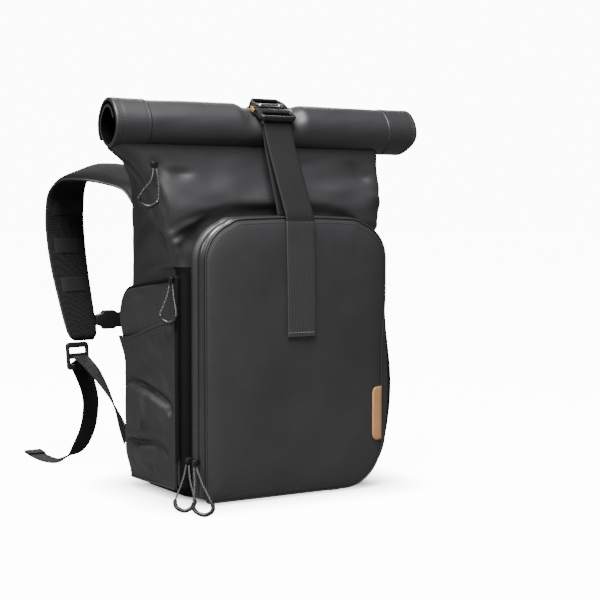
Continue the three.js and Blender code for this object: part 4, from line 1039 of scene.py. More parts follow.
PULLS = (
    PullShape("neck", (-160, -51.9, 384.8), (8, 7, 7), (
        (-161.5, -53, 381), (-163, -54.8, 374), (-166, -55, 366), (-171, -51, 358), (-175, -46, 350),
        (-175.5, -44, 345), (-173, -45, 341), (-166, -49, 337.6), (-159, -53, 341), (-156.3, -54.5, 345),
        (-156, -55, 350), (-156.5, -56, 358), (-157.5, -57.5, 366), (-158.3, -56.4, 374), (-158.6, -53.4, 381),
    )),
    PullShape("side", (-134.9, -41.5, 254.2), (5, 7, 7), (
        (-135.4, -40.2, 250), (-137, -40.5, 243), (-139.5, -40.5, 235), (-143, -41, 227), (-147.2, -41.5, 219),
        (-148.3, -41.3, 214), (-146.3, -43.3, 208.5), (-141.3, -48.3, 205.4), (-136.8, -53.3, 208.5),
        (-135.3, -55.3, 214), (-135, -54.6, 219), (-134.6, -51, 227), (-134.2, -47.5, 235),
        (-133.8, -44.5, 243), (-133.5, -42.8, 250),
    )),
    PullShape("low_rear", (-126, -67.3, 48.6), (7.4, 6, 6.6), (
        (-128.2, -65.3, 44), (-134.2, -73.3, 37.2), (-140.5, -81, 30.4), (-147.5, -88.3, 23.6),
        (-154.9, -95.3, 16.7), (-160.3, -100.8, 11.6), (-162.7, -106, 7.6), (-162.1, -111.6, 4.5),
        (-157.7, -117.6, 2.6), (-150.5, -118.6, 4.5), (-145.1, -116.4, 7.6), (-141.7, -111.8, 11.6),
        (-139.5, -104.5, 16.7), (-136.9, -94.7, 23.6), (-133.7, -85, 30.4), (-130, -75.7, 37.2),
        (-125.6, -66.8, 44),
    )),
    PullShape("low_front", (-126, -83.6, 48.6), (7.4, 6, 6.6), (
        (-127.3, -81.5, 44), (-132.2, -92.7, 37), (-137.6, -103.6, 29.9), (-143.5, -114.4, 22.9),
        (-150, -124.9, 15.8), (-154.5, -132.5, 10.8), (-156, -138.4, 7.3), (-154.5, -144.4, 4.3),
        (-148.9, -149.5, 2.6), (-141.3, -148.8, 4.3), (-136.4, -145, 7.3), (-134.1, -139.5, 10.8),
        (-133, -130.7, 15.8), (-131.7, -118.4, 22.9), (-130, -106.2, 29.9), (-127.6, -94.3, 37),
        (-124.6, -82.7, 44),
    )),
)


@dataclass
class ZipPulls:
    """The four zip pulls with their cords, moulded rings and sliders."""

    bench: Bench
    cord: float = 2.0
    sleeve_from: float = 0.36
    sleeve_to: float = 0.64
    sleeve_radius: float = 2.4

    def ring(self, pull: PullShape, path: Array) -> Object:
        """The moulded sleeve round the far end of a loop."""
        line = stretch(path, self.sleeve_from, self.sleeve_to)
        line = evenly(line, 0.8)
        share = np.linspace(0, 1, len(line))
        radius = self.sleeve_radius * (1 - 0.3 * bell(np.minimum(share, 1 - share) / 0.05))
        radius = radius - 0.16 * bell((share - 0.14) / 0.025) - 0.16 * bell((share - 0.86) / 0.025)
        return self.bench.solid(
            f"Pull_ring_{pull.name}", tube(line, radius, 14), "Ring plastic", f"pull_ring_{pull.name}",
        )

    def slider(self, pull: PullShape) -> Object:
        """The slider: a body with a smaller plate on top."""
        w, d, h = pull.size
        body = plate("slider", rounded(-w / 2, -h / 2, w / 2, h / 2, 1.6), d * 0.75, 0.9)
        top = plate("slider_top", rounded(-w * 0.33, -h * 0.5, w * 0.33, h * 0.36, 1.4), d * 0.3, 0.5)
        seat(top, X, Y, Z, Z * d * 0.35)
        whole = joined(f"Zip_slider_{pull.name}", [body, top])
        seat(whole, X, Z, -Y, np.array(pull.slider))
        return self.bench.place(whole, ("Black metal",), (f"zip_slider_{pull.name}",))

    def build(self) -> None:
        """Makes the cords, rings and sliders."""
        for pull in PULLS:
            path = through(np.array(pull.route), 8)
            curve = bpy.data.curves.new(f"Pull_cord_{pull.name}", "CURVE")
            curve.dimensions = "3D"
            curve.bevel_depth = self.cord / 2 * MM
            curve.bevel_resolution = 3
            curve.use_fill_caps = True
            spline = curve.splines.new("POLY")
            spline.points.add(len(path) - 1)
            for point, place in zip(spline.points, path):
                point.co = (*(place * MM), 1)
            obj = bpy.data.objects.new(f"Pull_cord_{pull.name}", curve)
            bpy.context.scene.collection.objects.link(obj)
            self.bench.palette.dress(obj, "Pull cord")
            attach(obj, "root")
            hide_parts(f"pull_cord_{pull.name}")
            ring = self.ring(pull, path)
            self.slider(pull)


# Body and neck


@dataclass
class BodyShell:
    """The padded body and the neck in one shell, open under the roll."""

    bench: Bench
    half_width: float = 128
    front: float = 55
    back: float = 90
    front_corner: float = 12
    back_corner: float = 20
    low_corner: float = 16
    bottom_edge: float = 9
    floor: float = 5.3
    shoulder: float = 262
    mouth: float = 402.4
    mouth_front: float = -42
    mouth_back: float = -2
    flare: float = 75
    right_limit: float = 0.36
    puff: float = 6.5
    fold: float = 22
    wall: float = 3
    roll_y: float = -25
    roll_z: float = 430
    mouth_radius: float = 27.6
    front_face: float = -39
    puff_top: float = 330
    puff_fade: float = 45
    free_top: float = 385
    free_fade: float = 14
    zip_half: float = 117
    zip_top: float = 268
    pocket_half: float = 128
    pocket_arch: float = 5
    pocket_top: float = 328.5
    arc_x: float = 75
    arc_z: float = 276
    arc_radius: float = 52.5
    body_table: Table = (
        (0, 1, 1), (0.012, 0.35, 0.9), (0.035, 0, 0.75), (0.12, 0, 0.35), (0.27, 0, 0), (0.65, 0, 0), (0.92, 0, 0),
            (1, 0, 0),
    )
    neck_table: Table = (
        (0, 0, 0, 0, 0, 0, 0), (0.16, 0.12, 0.09, 0.55, 0, 0, 0.12), (0.34, 0.24, 0.2, 0.8, 0, 0, 0.2),
        (0.475, 0.32, 0.29, 0.95, 0, 0, 0.25), (0.54, 0.32, 0.33, 1, 0, 0.01, 0.28),
        (0.64, 0.33, 0.4, 1, 0.05, 0.06, 0.38), (0.74, 0.38, 0.49, 1, 0.2, 0.29, 0.5),
        (0.86, 0.54, 0.68, 1, 0.52, 0.62, 0.75), (0.95, 0.8, 0.88, 1, 0.8, 0.88, 0.95),
        (1, 0.95, 1, 1, 0.95, 1, 1),
    )
    dents: Table = (
        (-0.8, 0.83, 0.22, 0.1, 1.2), (0.78, 0.83, 0.24, 0.12, 2), (-0.86, 0.3, 0.12, 0.14, 4),
        (0.86, 0.3, 0.12, 0.14, 4),
    )
    creases: tuple[Crease, ...] = (
        Crease(((-145, -62, 299), (-137, -64, 306), (-123, -65, 317), (-105, -65, 323), (-93, -65, 324)), 5.0, 3.2),
        Crease(((-142, -62, 294), (-127, -63, 302), (-116, -64, 309), (-103, -64, 317)), 4.2, 2.8),
        Crease(((-141, -60, 293), (-130, -60, 297), (-122, -60, 300)), 3.0, 2.6),
        Crease(((-143, -62, 296.5), (-127, -64, 307), (-114, -65, 313)), 3.4, -3.8),
        Crease(((-146, -58, 304), (-138, -64, 312), (-122, -66, 322), (-104, -66, 329)), 3.0, -3.2),
        Crease(((-133, -57, 285), (-129, -57, 279), (-131, -57, 271)), 4.0, 2.0),
        Crease(((-136, -52, 378), (-123, -53, 376), (-111, -54, 378)), 5.0, -3.4),
        Crease(((-138, -52, 382), (-123, -53, 381), (-109, -54, 382)), 5.0, 1.0),
        Crease(((-139, -50, 388), (-135, -50, 381), (-138, -50, 375)), 6.0, 2.0),
        Crease(((-158, -50, 392), (-150, -52, 384), (-146, -54, 374)), 4.0, -4.0),
        Crease(((-152, 14, 357), (-151, -3, 340), (-147, -29, 320), (-142, -50, 300), (-133, -56, 283)), 5.5, 2.6),
        Crease(((-152, 24, 353), (-150, 8, 334), (-146, -18, 314), (-140, -38, 296)), 6.0, -2.6),
        Crease(((-158, -40, 366), (-152, -46, 350), (-146, -50, 332), (-140, -52, 312)), 3.0, -3.0),
        Crease(((100, -52, 401), (111, -52, 398), (125, -52, 391), (134, -52, 380)), 3.6, 3.2),
        Crease(((104, -54, 394), (114, -54, 388), (124, -54, 380)), 4.0, -2.8),
        Crease(((114, -55, 380), (126, -55, 373), (134, -55, 377)), 5.0, -3.6),
        Crease(((135, -58, 352), (144, -55, 347), (151, -50, 337)), 4.0, 3.0),
        Crease(((130, -58, 322), (141, -56, 315), (148, -50, 307)), 4.0, 3.0),
        Crease(((100, -64, 329), (118, -62, 318), (134, -58, 302)), 3.6, 3.0),
        Crease(((-132, 66, 246), (-132, 18, 254), (-132, -17, 260), (-130, -43, 264)), 3.4, -4.0),
        Crease(((-132, 66, 256), (-132, 18, 264), (-132, -17, 270), (-130, -43, 272)), 5.0, 2.2),
        Crease(((-138, 70, 300), (-142, 20, 315), (-146, -10, 322)), 9.0, -2.2),
        Crease(((-136, 76, 280), (-138, 36, 290), (-140, 0, 300), (-138, -30, 290)), 11.0, 2.6),
        Crease(((-150, 30, 350), (-155, 0, 352), (-158, -16, 356)), 7.0, 2.0),
        Crease(((-60, -62, 345), (-20, -63, 341), (30, -63, 344)), 9.0, 1.2),
        Crease(((40, -63, 362), (85, -62, 357), (120, -58, 362)), 8.0, 1.4),
        Crease(((-118, -62, 350), (-100, -63, 343), (-70, -63, 346)), 8.0, -1.4),
    )

    def half(self, row: dict[str, float], side: int, wall: float = 0) -> Array:
        """Half a ring, from the middle of the front to the middle of the back.

        Args:
            row: the shape at one height.
            side: 1 for the right, -1 for the left.
            wall: how far the ring lies inside the surface.

        Returns:
            Points of one half of the ring.
        """
        limit = self.right_limit if side > 0 else 1
        front = row["half"] + min(row["front"], limit) * self.flare - wall
        seam = row["half"] + min(row["seam"], limit) * self.flare - wall
        back = row["half"] + min(row["back"], limit) * self.flare - wall
        front_y, back_y = row["front_y"] + wall, row["back_y"] - wall
        corner = self.front_corner - wall / 2
        edge = min(row["round"], (back_y - row["seam_y"]) * 0.45)
        points = [(s * (front - corner), front_y) for s in np.linspace(0, 1, 53)[:-1]]
        seam_front = row["seam_y"] - row["seam_half"]
        for t in np.linspace(0, 1, 12):
            u = 1 - t
            points.append(
                (
                    u * u * (front - corner) + 2 * u * t * front + t * t * seam,
                    u * u * front_y + 2 * u * t * front_y + t * t * seam_front,
                )
            )
        for t in (0.25, 0.55, 0.85, 1, 0.85, 0.55, 0.25):
            away = row["seam_half"] * (1 - t) * (-1 if len(points) < 68 else 1)
            points.append((seam - row["fold"] * t**1.4, row["seam_y"] + away))
        for t in np.linspace(0, 0.97, 34):
            points.append((mix(seam, back, t), mix(row["seam_y"] + row["seam_half"], back_y - edge, t)))
        for t in np.linspace(0, 1, 12):
            u = 1 - t
            points.append(
                (
                    u * u * back + 2 * u * t * back + t * t * (back - edge),
                    u * u * (back_y - edge) + 2 * u * t * back_y + t * t * back_y,
                )
            )
        points += [(s * (back - edge), back_y) for s in np.linspace(1, 0, 31)[1:]]
        return np.array([(side * x, y, row["z"]) for x, y in points])

    def rows(self) -> list[dict[str, float]]:
        """The shapes at all heights, from the base to the mouth."""
        rows = []
        body = np.array(self.body_table)
        for rise in np.concatenate([np.linspace(0, 0.04, 7), np.linspace(0.06, 0.98, 34)]):
            inset = float(monotone(rise, body[:, 0], body[:, 1])) * self.bottom_edge
            tuck = float(monotone(rise, body[:, 0], body[:, 2]))
            rows.append({
                "z": mix(self.floor, self.shoulder, rise), "half": self.half_width - inset,
                "front": 0, "seam": 0, "back": 0, "front_y": -self.front + inset, "back_y": self.back - inset,
                "seam_y": -self.front + self.front_corner + inset, "seam_half": 1, "fold": 0,
                "round": self.back_corner + tuck * self.low_corner, "rise": -1,
            })
        neck = np.array(self.neck_table)
        for rise in np.linspace(0, 1, 84):
            front, seam, seam_in, back, back_in, fold = (
                float(monotone(rise, neck[:, 0], column)) for column in neck.T[1:]
            )
            rows.append({
                "z": mix(self.shoulder, self.mouth, rise), "half": self.half_width, "front": front, "seam": seam,
                "front_y": mix(-self.front, self.mouth_front, float(smooth((rise - 0.5) / 0.5))), "back": back,
                "seam_y": mix(-self.front + self.front_corner, self.roll_y, seam_in), "fold": fold * self.fold,
                "seam_half": mix(1, 5, min(1, rise * 3)), "back_y": mix(self.back, self.mouth_back, back_in),
                "round": self.back_corner, "rise": rise,
            })
        return rows

    def ring(self, row: dict[str, float]) -> Array:
        """A whole ring; near the mouth its rim rises round the roll."""
        right, left = self.half(row, 1), self.half(row, -1)
        ring = np.vstack([right, left[1:-1][::-1]])
        across = ring[:, 0] / (row["half"] + row["front"] * self.flare)
        for place, rise, width, height, depth in self.dents:
            dent = depth * bell((across - place) / width) * bell((row["rise"] - rise) / height)
            ring[:, 1] += np.where(ring[:, 1] < row["seam_y"] - 3, dent, 0)
        if row["rise"] > 0.8:
            off = np.clip(ring[:, 1] - self.roll_y, -self.mouth_radius + 1, self.mouth_radius - 1)
            rim = self.roll_z - np.sqrt(self.mouth_radius**2 - off**2)
            ring[:, 2] += (rim - self.mouth) * float(smooth((row["rise"] - 0.8) / 0.2))
        return ring

    def over_pocket(self, points: Array) -> Array:
        """How far each point lies above the front pocket's outline, or outside its corners."""
        x, z = np.abs(points[..., 0]), points[..., 2]
        corner = np.hypot(np.maximum(x - self.arc_x, 0), np.maximum(z - self.arc_z, 0)) - self.arc_radius
        straight = z - self.pocket_top - self.pocket_arch * (1 - (x / 121) ** 2)
        return np.where(x < self.arc_x, straight, np.where(z > self.arc_z, corner, x - self.pocket_half))

    def build(self) -> None:
        """Makes the shell."""
        outer = np.array([self.ring(row) for row in self.rows()])
        over = self.over_pocket(outer)
        x, z = np.abs(outer[..., 0]), outer[..., 2]
        before = outer[..., 1] < self.front_face
        fade = 1 - smooth((z - self.puff_top) / self.puff_fade)
        edge = smooth((x.max(axis=1, keepdims=True) - 3 - x) / 26) * before
        free = 1 - smooth((z - self.free_top) / self.free_fade)
        even = smooth((z - 266) / 8) * free
        outer[..., 1] -= self.puff * smooth((over + 2) / 13) * fade * edge * (z > self.shoulder)
        outer = relaxed(outer, 6, even)
        out = outward(outer, np.array([0, 10, 200]))
        near = np.array([1, 0.3, 1])
        shift = 0
        for crease in self.creases:
            in_front = crease.path[0][1] < -45
            shift = shift + (crease.scaled(near)(outer * near) if in_front else crease(outer))
        above = smooth((outer[..., 2] - 20) / 40)
        neck = smooth((outer[..., 2] - 280) / 40)
        shift = shift + (Ripple(95, 0.5, 3)(outer) + Ripple(38, 0.2, 4)(outer)) * above
        shift = shift + Ripple(46, 0.5, 8)(outer) * neck
        held = np.where(before, smooth((over - 1) / 5), 1)
        outer = relaxed(outer + out * (shift * free * held)[..., None], 2, even)
        inner = outer - out * self.wall
        # The body's front corner strips by the zips take the near-black tape: a zip track, and painted shade between
        # the side pocket and the ribs.
        dark = np.zeros((2 * len(outer) - 4, outer.shape[1]), int)
        dark[: len(outer) - 1] = (
            (x > self.zip_half) & (outer[..., 1] < self.front_face + 1) & (z < self.zip_top)
        )[:-1]
        patch = Patch(np.concatenate([outer, inner[::-1][:-3]]), True, Ends.CAPS, dark)
        self.bench.make("Body_shell", [patch], ("Coated cloth", "Zip tape and painted shade"), ("body_shell",), 50)


# Front pocket


@dataclass
class FrontPocket:
    """The front pocket: a cup of cloth with a crowned face, two ribs, zips, piping and a label."""

    bench: Bench
    half: float = 121
    height: float = 322
    depth: float = 42
    crown: float = 9
    wall: float = 3
    top_corner: float = 46
    left_corner: float = 5
    right_corner: float = 54
    arch: float = 5
    flare: float = 5
    swell: float = 19
    clear: float = 1.6
    inset: float = 4
    front: float = 55
    rib_height: float = 4.2
    sections: tuple[tuple[float, float, float], ...] = (
        (0, 2, 0.4), (0.16, 1, 1), (0.5, 1, 1), (0.86, 1, 1), (0.96, 0.4, 0.5), (1, 0.2, 0),
    )
    face_rings: tuple[tuple[float, float], ...] = ((0, 1), (0.42, 1), (0.78, 0.8), (0.94, 0.42), (1, 0))

    def outline(self, inset: float, swell: float = 0, fine: int = 4) -> Array:
        """The pocket's outline as rows of X and Z, from the bottom left over the top.

        Args:
            inset: how far it lies inside the outer edge.
            swell: the share of the right side's swelling.
            fine: points for each of the part's own steps.

        Returns:
            The points.
        """
        low, high, half = self.clear + inset, self.height - inset, self.half - inset
        top, left, right = self.top_corner - inset, max(1, self.left_corner - inset), self.right_corner - inset
        points: list[tuple[float, float]] = []

        def line(x0: float, z0: float, x1: float, z1: float, steps: int) -> None:
            """Adds a straight stretch."""
            points.extend(
                (mix(x0, x1, i / (steps * fine)), mix(z0, z1, i / (steps * fine))) for i in range(steps * fine)
            )

        def arc(x: float, z: float, radius: float, start: float, end: float, steps: int) -> None:
            """Adds a rounded corner."""
            for i in range(steps * fine):
                angle = math.radians(mix(start, end, i / (steps * fine)))
                points.append((x + radius * math.cos(angle), z + radius * math.sin(angle)))

        line(-half, low + left, -half, high - top, 7)
        arc(-half + top, high - top, top, 180, 90, 5)
        line(-half + top, high, half - top, high, 6)
        arc(half - top, high - top, top, 90, 0, 5)
        line(half, high - top, half, low + right, 7)
        arc(half - right, low + right, right, 0, -90, 5)
        line(half - right, low, -half + left, low, 4)
        arc(-half + left, low + left, left, 270, 180, 2)
        x, z = np.array(points).T
        arch = self.arch * (1 - (x / half) ** 2) * smooth((z - high + 3) / 3)
        out = self.flare * smooth((z / self.height - 0.5) / 0.25) + swell * self.swell * bell(
            (z / self.height - 0.38) / 0.42
        )
        return np.stack([np.where(x > 0, x + out * np.clip(2 * x / half - 0.9, 0, 1), x), z + arch], 1)

    def rise(self, size: Array | float) -> Array:
        """How far the face stands proud at a share of its size."""
        table = np.array(self.face_rings)
        return self.crown * monotone(size, table[:, 0], table[:, 1])

    def side_ring(self, share: float, inset: float = 0) -> Array:
        """The outline of the pocket's side at a share of its depth."""
        table = np.array(self.sections)
        step = float(monotone(share, table[:, 0], table[:, 1])) * self.inset
        xz = self.outline(step + inset, float(monotone(share, table[:, 0], table[:, 2])))
        y = -(self.front + GAP + share * (self.depth - max(inset, 0)))
        return np.stack([xz[:, 0], np.full(len(xz), y), xz[:, 1]], 1)

    def face_ring(self, size: float, inset: float = 0) -> Array:
        """A ring of the face, at a share of its size."""
        xz = self.outline(inset if inset else 0.8)
        middle = self.height / 2
        y = -(self.front + GAP + self.depth - inset + float(self.rise(size)))
        return np.stack([xz[:, 0] * size, np.full(len(xz), y), mix(middle, xz[:, 1], size)], 1)

    def face_depth(self, x: float, z: float) -> float:
        """How far the face stands before the origin at a point."""
        xz = self.outline(0.8)
        middle = self.height / 2
        angle = np.unwrap(np.arctan2(xz[:, 1] - middle, xz[:, 0]))
        reach = np.hypot(xz[:, 0], xz[:, 1] - middle)
        order = np.argsort(np.mod(angle, 2 * math.pi))
        at = math.atan2(z - middle, x) % (2 * math.pi)
        edge = np.interp(at, np.mod(angle, 2 * math.pi)[order], reach[order], period=2 * math.pi)
        return self.front + GAP + self.depth + float(self.rise(min(1.0, math.hypot(x, z - middle) / edge)))

    def cup(self) -> None:
        """The cup of cloth with its face."""
        outer = [self.side_ring(s) for s in np.concatenate([np.linspace(0, 0.94, 14), [0.965, 0.985, 1]])]
        sizes = np.concatenate([[0.995, 0.985, 0.97, 0.955], np.linspace(0.94, 0.03, 44)])
        face = [self.face_ring(size) for size in sizes]
        rings = np.array(outer + face)
        soft = Ripple(105, 0.55, 21)(rings) + Ripple(42, 0.2, 22)(rings)
        inside = np.concatenate([np.linspace(0.1, 0.4, len(outer)), np.linspace(0.4, 1, len(face))])
        rings[..., 1] -= soft * smooth((inside[:, None] - 0.42) / 0.2)
        inner = [self.side_ring(s, self.wall) for s in np.linspace(0, 0.95, 6)]
        inner += [self.face_ring(s, self.wall) for s in (0.95, 0.8, 0.5, 0.05)]
        everything = np.concatenate([np.array(inner[::-1]), rings])
        self.bench.solid("Front_pocket", everything, "Ripstop cloth", "front_door", 55)

    def rib(self, name: str, start: float, width: float) -> None:
        """A padded rib round the pocket's side.

        Args:
            name: which rib.
            start: the depth that it starts at.
            width: its width.
        """
        table = np.array(self.sections)
        lines = []
        for share in np.linspace(0, 1, 13):
            depth = (start + width * share) / self.depth
            lift = math.sin(math.pi * share) ** 0.62
            step = float(monotone(depth, table[:, 0], table[:, 1])) * self.inset - 0.4 - lift * self.rib_height
            xz = self.outline(step, float(monotone(depth, table[:, 0], table[:, 2])), 6)
            lines.append(
                np.stack([xz[:, 0], np.full(len(xz), -(self.front + GAP + start + width * share)), xz[:, 1]], 1)
            )
        count = int((2 * 7 + 6 + 3 * 5 - 1) * 6)
        rows = np.array(lines).transpose(1, 0, 2)[:count]
        rows[..., 2] = np.maximum(rows[..., 2], 3)
        cloth = "Piping" if name == "front" else "Coated cloth"
        self.bench.solid(f"Rib_{name}", rows, cloth, f"door_rib_{name}", 55)

    def trims(self) -> None:
        """Piping round the face's edge, zip tapes, teeth and seams between the ribs; the seam tape's near-black is
        partly painted shade.
        """
        edge = self.face_ring(0.994)
        edge[:, 1] -= 0.4
        self.bench.rod("Face_piping", np.vstack([edge, edge[:2]]), 1.1, "Coated cloth", 10)
        inner = self.face_ring(0.958)
        inner[:, 1] -= 0.35
        self.bench.stitches("Face_stitches", np.vstack([inner, inner[:2]]), "Dark thread", 2.6, 1.3, 0.28)
        # The seam tape between the front rib and the face is near-black: a seam, and painted shade in the recess
        # there.
        for name, start, width in (("zip", 21.3, 3.4), ("seam", 36.6, 3.0)):
            shares = [(start + width * t) / self.depth for t in (0, 0.35, 0.65, 1)]
            band = np.array([self.side_ring(s, -0.5 - 0.5 * (i in (1, 2))) for i, s in enumerate(shares)])
            back = np.array([self.side_ring(s, 0.3) for s in shares])
            rows = np.concatenate([band, back[::-1]]).transpose(1, 0, 2)
            count = int((2 * 7 + 6 + 3 * 5 - 1) * 4)
            self.bench.solid(f"Pocket_{name}_tape", rows[1:count], "Zip tape and painted shade")
        line = evenly(self.side_ring(23 / self.depth, -1.5)[2:130], 1.9)
        teeth = []
        for i in range(len(line) - 1):
            middle = line[i]
            shift = np.array([0, 0.55 if i % 2 else -0.55, 0])
            ends = np.array([middle - [0, 1.1, 0], middle + [0, 1.1, 0]]) + shift
            teeth.append(Patch(tube(ends, 0.62, 6), wrap=True, ends=Ends.CAPS))
        self.bench.make("Pocket_zip_teeth", teeth, ("Black plastic",))

    def label(self) -> None:
        """The bare leather label at the face's right edge, with its stitches."""
        right, width, low, high = self.half - 2, 17.0, 58.0, 122.0
        rows = []
        for z in np.linspace(low, high, 40):
            row = []
            for share in np.linspace(0, 1, 16):
                trim = 7 * (1 - math.sqrt(max(0, 1 - (1 - min(1, share / 0.4)) ** 2)))
                x = right - width * (1 - share)
                height = mix(low + trim, high - trim, (z - low) / (high - low))
                edge = min(share * width, (1 - share) * width, height - low - trim + 0.4, high - trim - height + 0.4)
                lift = 0.7 + 1.6 * float(smooth(0.35 + edge / 1.6))
                row.append((x, -(self.face_depth(x, height) + lift), height))
            rows.append(row)
        top = np.array(rows)
        below = top.copy()
        below[..., 1] = np.array([[-(self.face_depth(p[0], p[2]) + 0.7) for p in row] for row in top])
        loops = np.concatenate([top, below[::-1]], axis=0)
        self.bench.solid("Leather_label", loops.transpose(1, 0, 2), "Tan leather", "leather_label", 60)
        path = [(right - width + 2.6, low + 9), (right - width + 2.6, high - 9)]
        line = evenly(
            np.array([(x, -(self.face_depth(x, z) + 2.25), z) for x, z in np.linspace(path[0], path[1], 12)]), 2,
        )
        self.bench.stitches("Label_stitches", line, "Brown thread", 2.2, 1.2, 0.3)

    def build(self) -> None:
        """Makes the whole pocket."""
        self.cup()
        self.rib("rear", 7, 14)
        self.rib("front", 25, 11)
        self.trims()
        self.label()


# Roll


@dataclass
class Roll:
    """The rolled top: wound double cloth with an open end on each side and its hem bands."""

    bench: Bench
    half: float = 205
    radius: float = 28
    y: float = -25
    z: float = 430
    wall: float = 3.4
    crease: float = 3
    dent: float = 7
    end_cut: float = 14
    pitch: float = 5
    turns: float = 1.55
    start: float = -40
    seam: float = 70
    band: float = 43
    extra: float = 0.5
    buckle: float = 123
    press_half: float = 28

    def reach(self, angle: Array | float, press: Array | float) -> Array:
        """The roll's radius at an angle, pressed in under the buckle."""

        def away(middle: float) -> Array | float:
            """Degrees from a middle angle."""
            return np.mod(angle - middle + 900, 360) - 180

        dent = self.dent * press * bell(away(self.buckle) / 80)
        return self.radius + self.crease * (bell(away(90) / 55) - 0.4) - dent

    def outline(self, extra: float, press: float) -> Array:
        """The wound cloth's section as rows of Y and Z: its outer face, then its inner one."""
        turned = np.linspace(0, self.turns * 360, 110)
        angle = self.start + turned
        layer = smooth((turned - 360 + self.seam) / self.seam) + np.clip((turned - 360) / 360, 0, 1)
        loops = []
        for offset in (extra, -self.wall):
            radius = self.reach(angle, press) - layer * self.pitch + offset
            turn = np.radians(angle)
            loops.append(np.stack([self.y + radius * np.cos(turn), self.z + radius * np.sin(turn)], 1))
        return np.concatenate([loops[0], loops[1][::-1]])

    def piece(self, xs: Array, extra: float, cut: float = 0, ease: float = 0) -> Array:
        """A stretch of the roll.

        Args:
            xs: the places of its sections.
            extra: how much thicker it is than the plain roll.
            cut: how far its lower side is cut back at its end.
            ease: how far its ends are rounded.

        Returns:
            Rows of section points.
        """
        rows = []
        for x in xs:
            press = float(1 - smooth((abs(x) - self.press_half) / (self.press_half * 0.7)))
            near = min(abs(x - xs[0]), abs(x - xs[-1]))
            slim = ease * (1 - float(smooth(near / 1.2)))
            section = self.outline(extra - slim, press)
            share = (x - xs[0]) / (xs[-1] - xs[0])
            back = cut * share * np.clip((self.z - section[:, 1]) / self.radius, 0, 1) ** 2
            rows.append(np.stack([x - back, section[:, 0], section[:, 1]], 1))
        return np.array(rows)

    def out(self, rows: Array) -> Array:
        """The direction of each point away from the roll's axis."""
        return unit((rows - np.array([0, self.y, self.z])) * np.array([0, 1, 1]))

    def soften(self, rows: Array, amount: float) -> Array:
        """Adds the cloth's unevenness to a stretch of the roll."""
        long = rows * np.array([0.35, 1, 1])
        free = smooth((rows[..., 2] - self.z + 24) / 14)
        shift = amount * (Ripple(60, 0.5, 31)(long) + Ripple(24, 0.22, 32)(long)) * free
        return rows + self.out(rows) * shift[..., None]

    def build(self) -> None:
        """Makes the middle, both bands and their stitched lines."""
        edge = self.half - self.band
        center = self.soften(self.piece(np.linspace(-edge + GAP, edge - GAP, 110), 0, 0, 0), 1.0)
        # Columns from 82 on are the roll's inner face, in near-black cloth as painted shade inside the roll.
        inside = np.where(np.arange(220) < 82, 0, 1)
        patch = Patch(center, wrap=True, ends=Ends.STRIPS, material=inside)
        self.bench.make("Roll_center", [patch], ("Coated cloth", "Painted shade lining"), ("roll_center",), 50)
        half = self.half
        right = np.concatenate(
            [
                edge + np.array([0, 0.3, 0.8, 1.4]), np.linspace(edge + 2, half - 3, 16),
                half - np.array([1.6, 0.9, 0.4, 0]),
            ]
        )
        for name, side, xs, cut in (("left", -1, -right[::-1], 0.0), ("right", 1, right, self.end_cut)):
            seams = [side * x for x in (half - 5, half - 8, edge + 2.2)]
            rows = self.soften(self.piece(xs, self.extra, cut, 0.7), 0.5)
            groove = sum(0.35 * bell((rows[..., 0] - x) / 1.0) for x in seams)
            rows = rows - self.out(rows) * groove[..., None]
            # The bands' inner faces take the same near-black cloth: painted shade inside the roll.
            patch = Patch(rows, wrap=True, ends=Ends.STRIPS, material=inside)
            self.bench.make(f"Roll_band_{name}", [patch], ("Coated cloth", "Painted shade lining"), (f"roll_band_{name}",), 50)
            section = self.outline(self.extra + 0.15, 0)[:85]
            for number, x in enumerate(seams):
                back = cut * (abs(x) - edge) / self.band * np.clip((self.z - section[:, 1]) / self.radius, 0, 1) ** 2
                path = np.stack([x - back, section[:, 0], section[:, 1]], 1)
                self.bench.stitches(
                    f"Band_stitches_{name}_{number}", path, "Dark thread" if number else "Thread dull", 2.8, 1.2, 0.3,
                )


# Buckle and the webbing over the roll


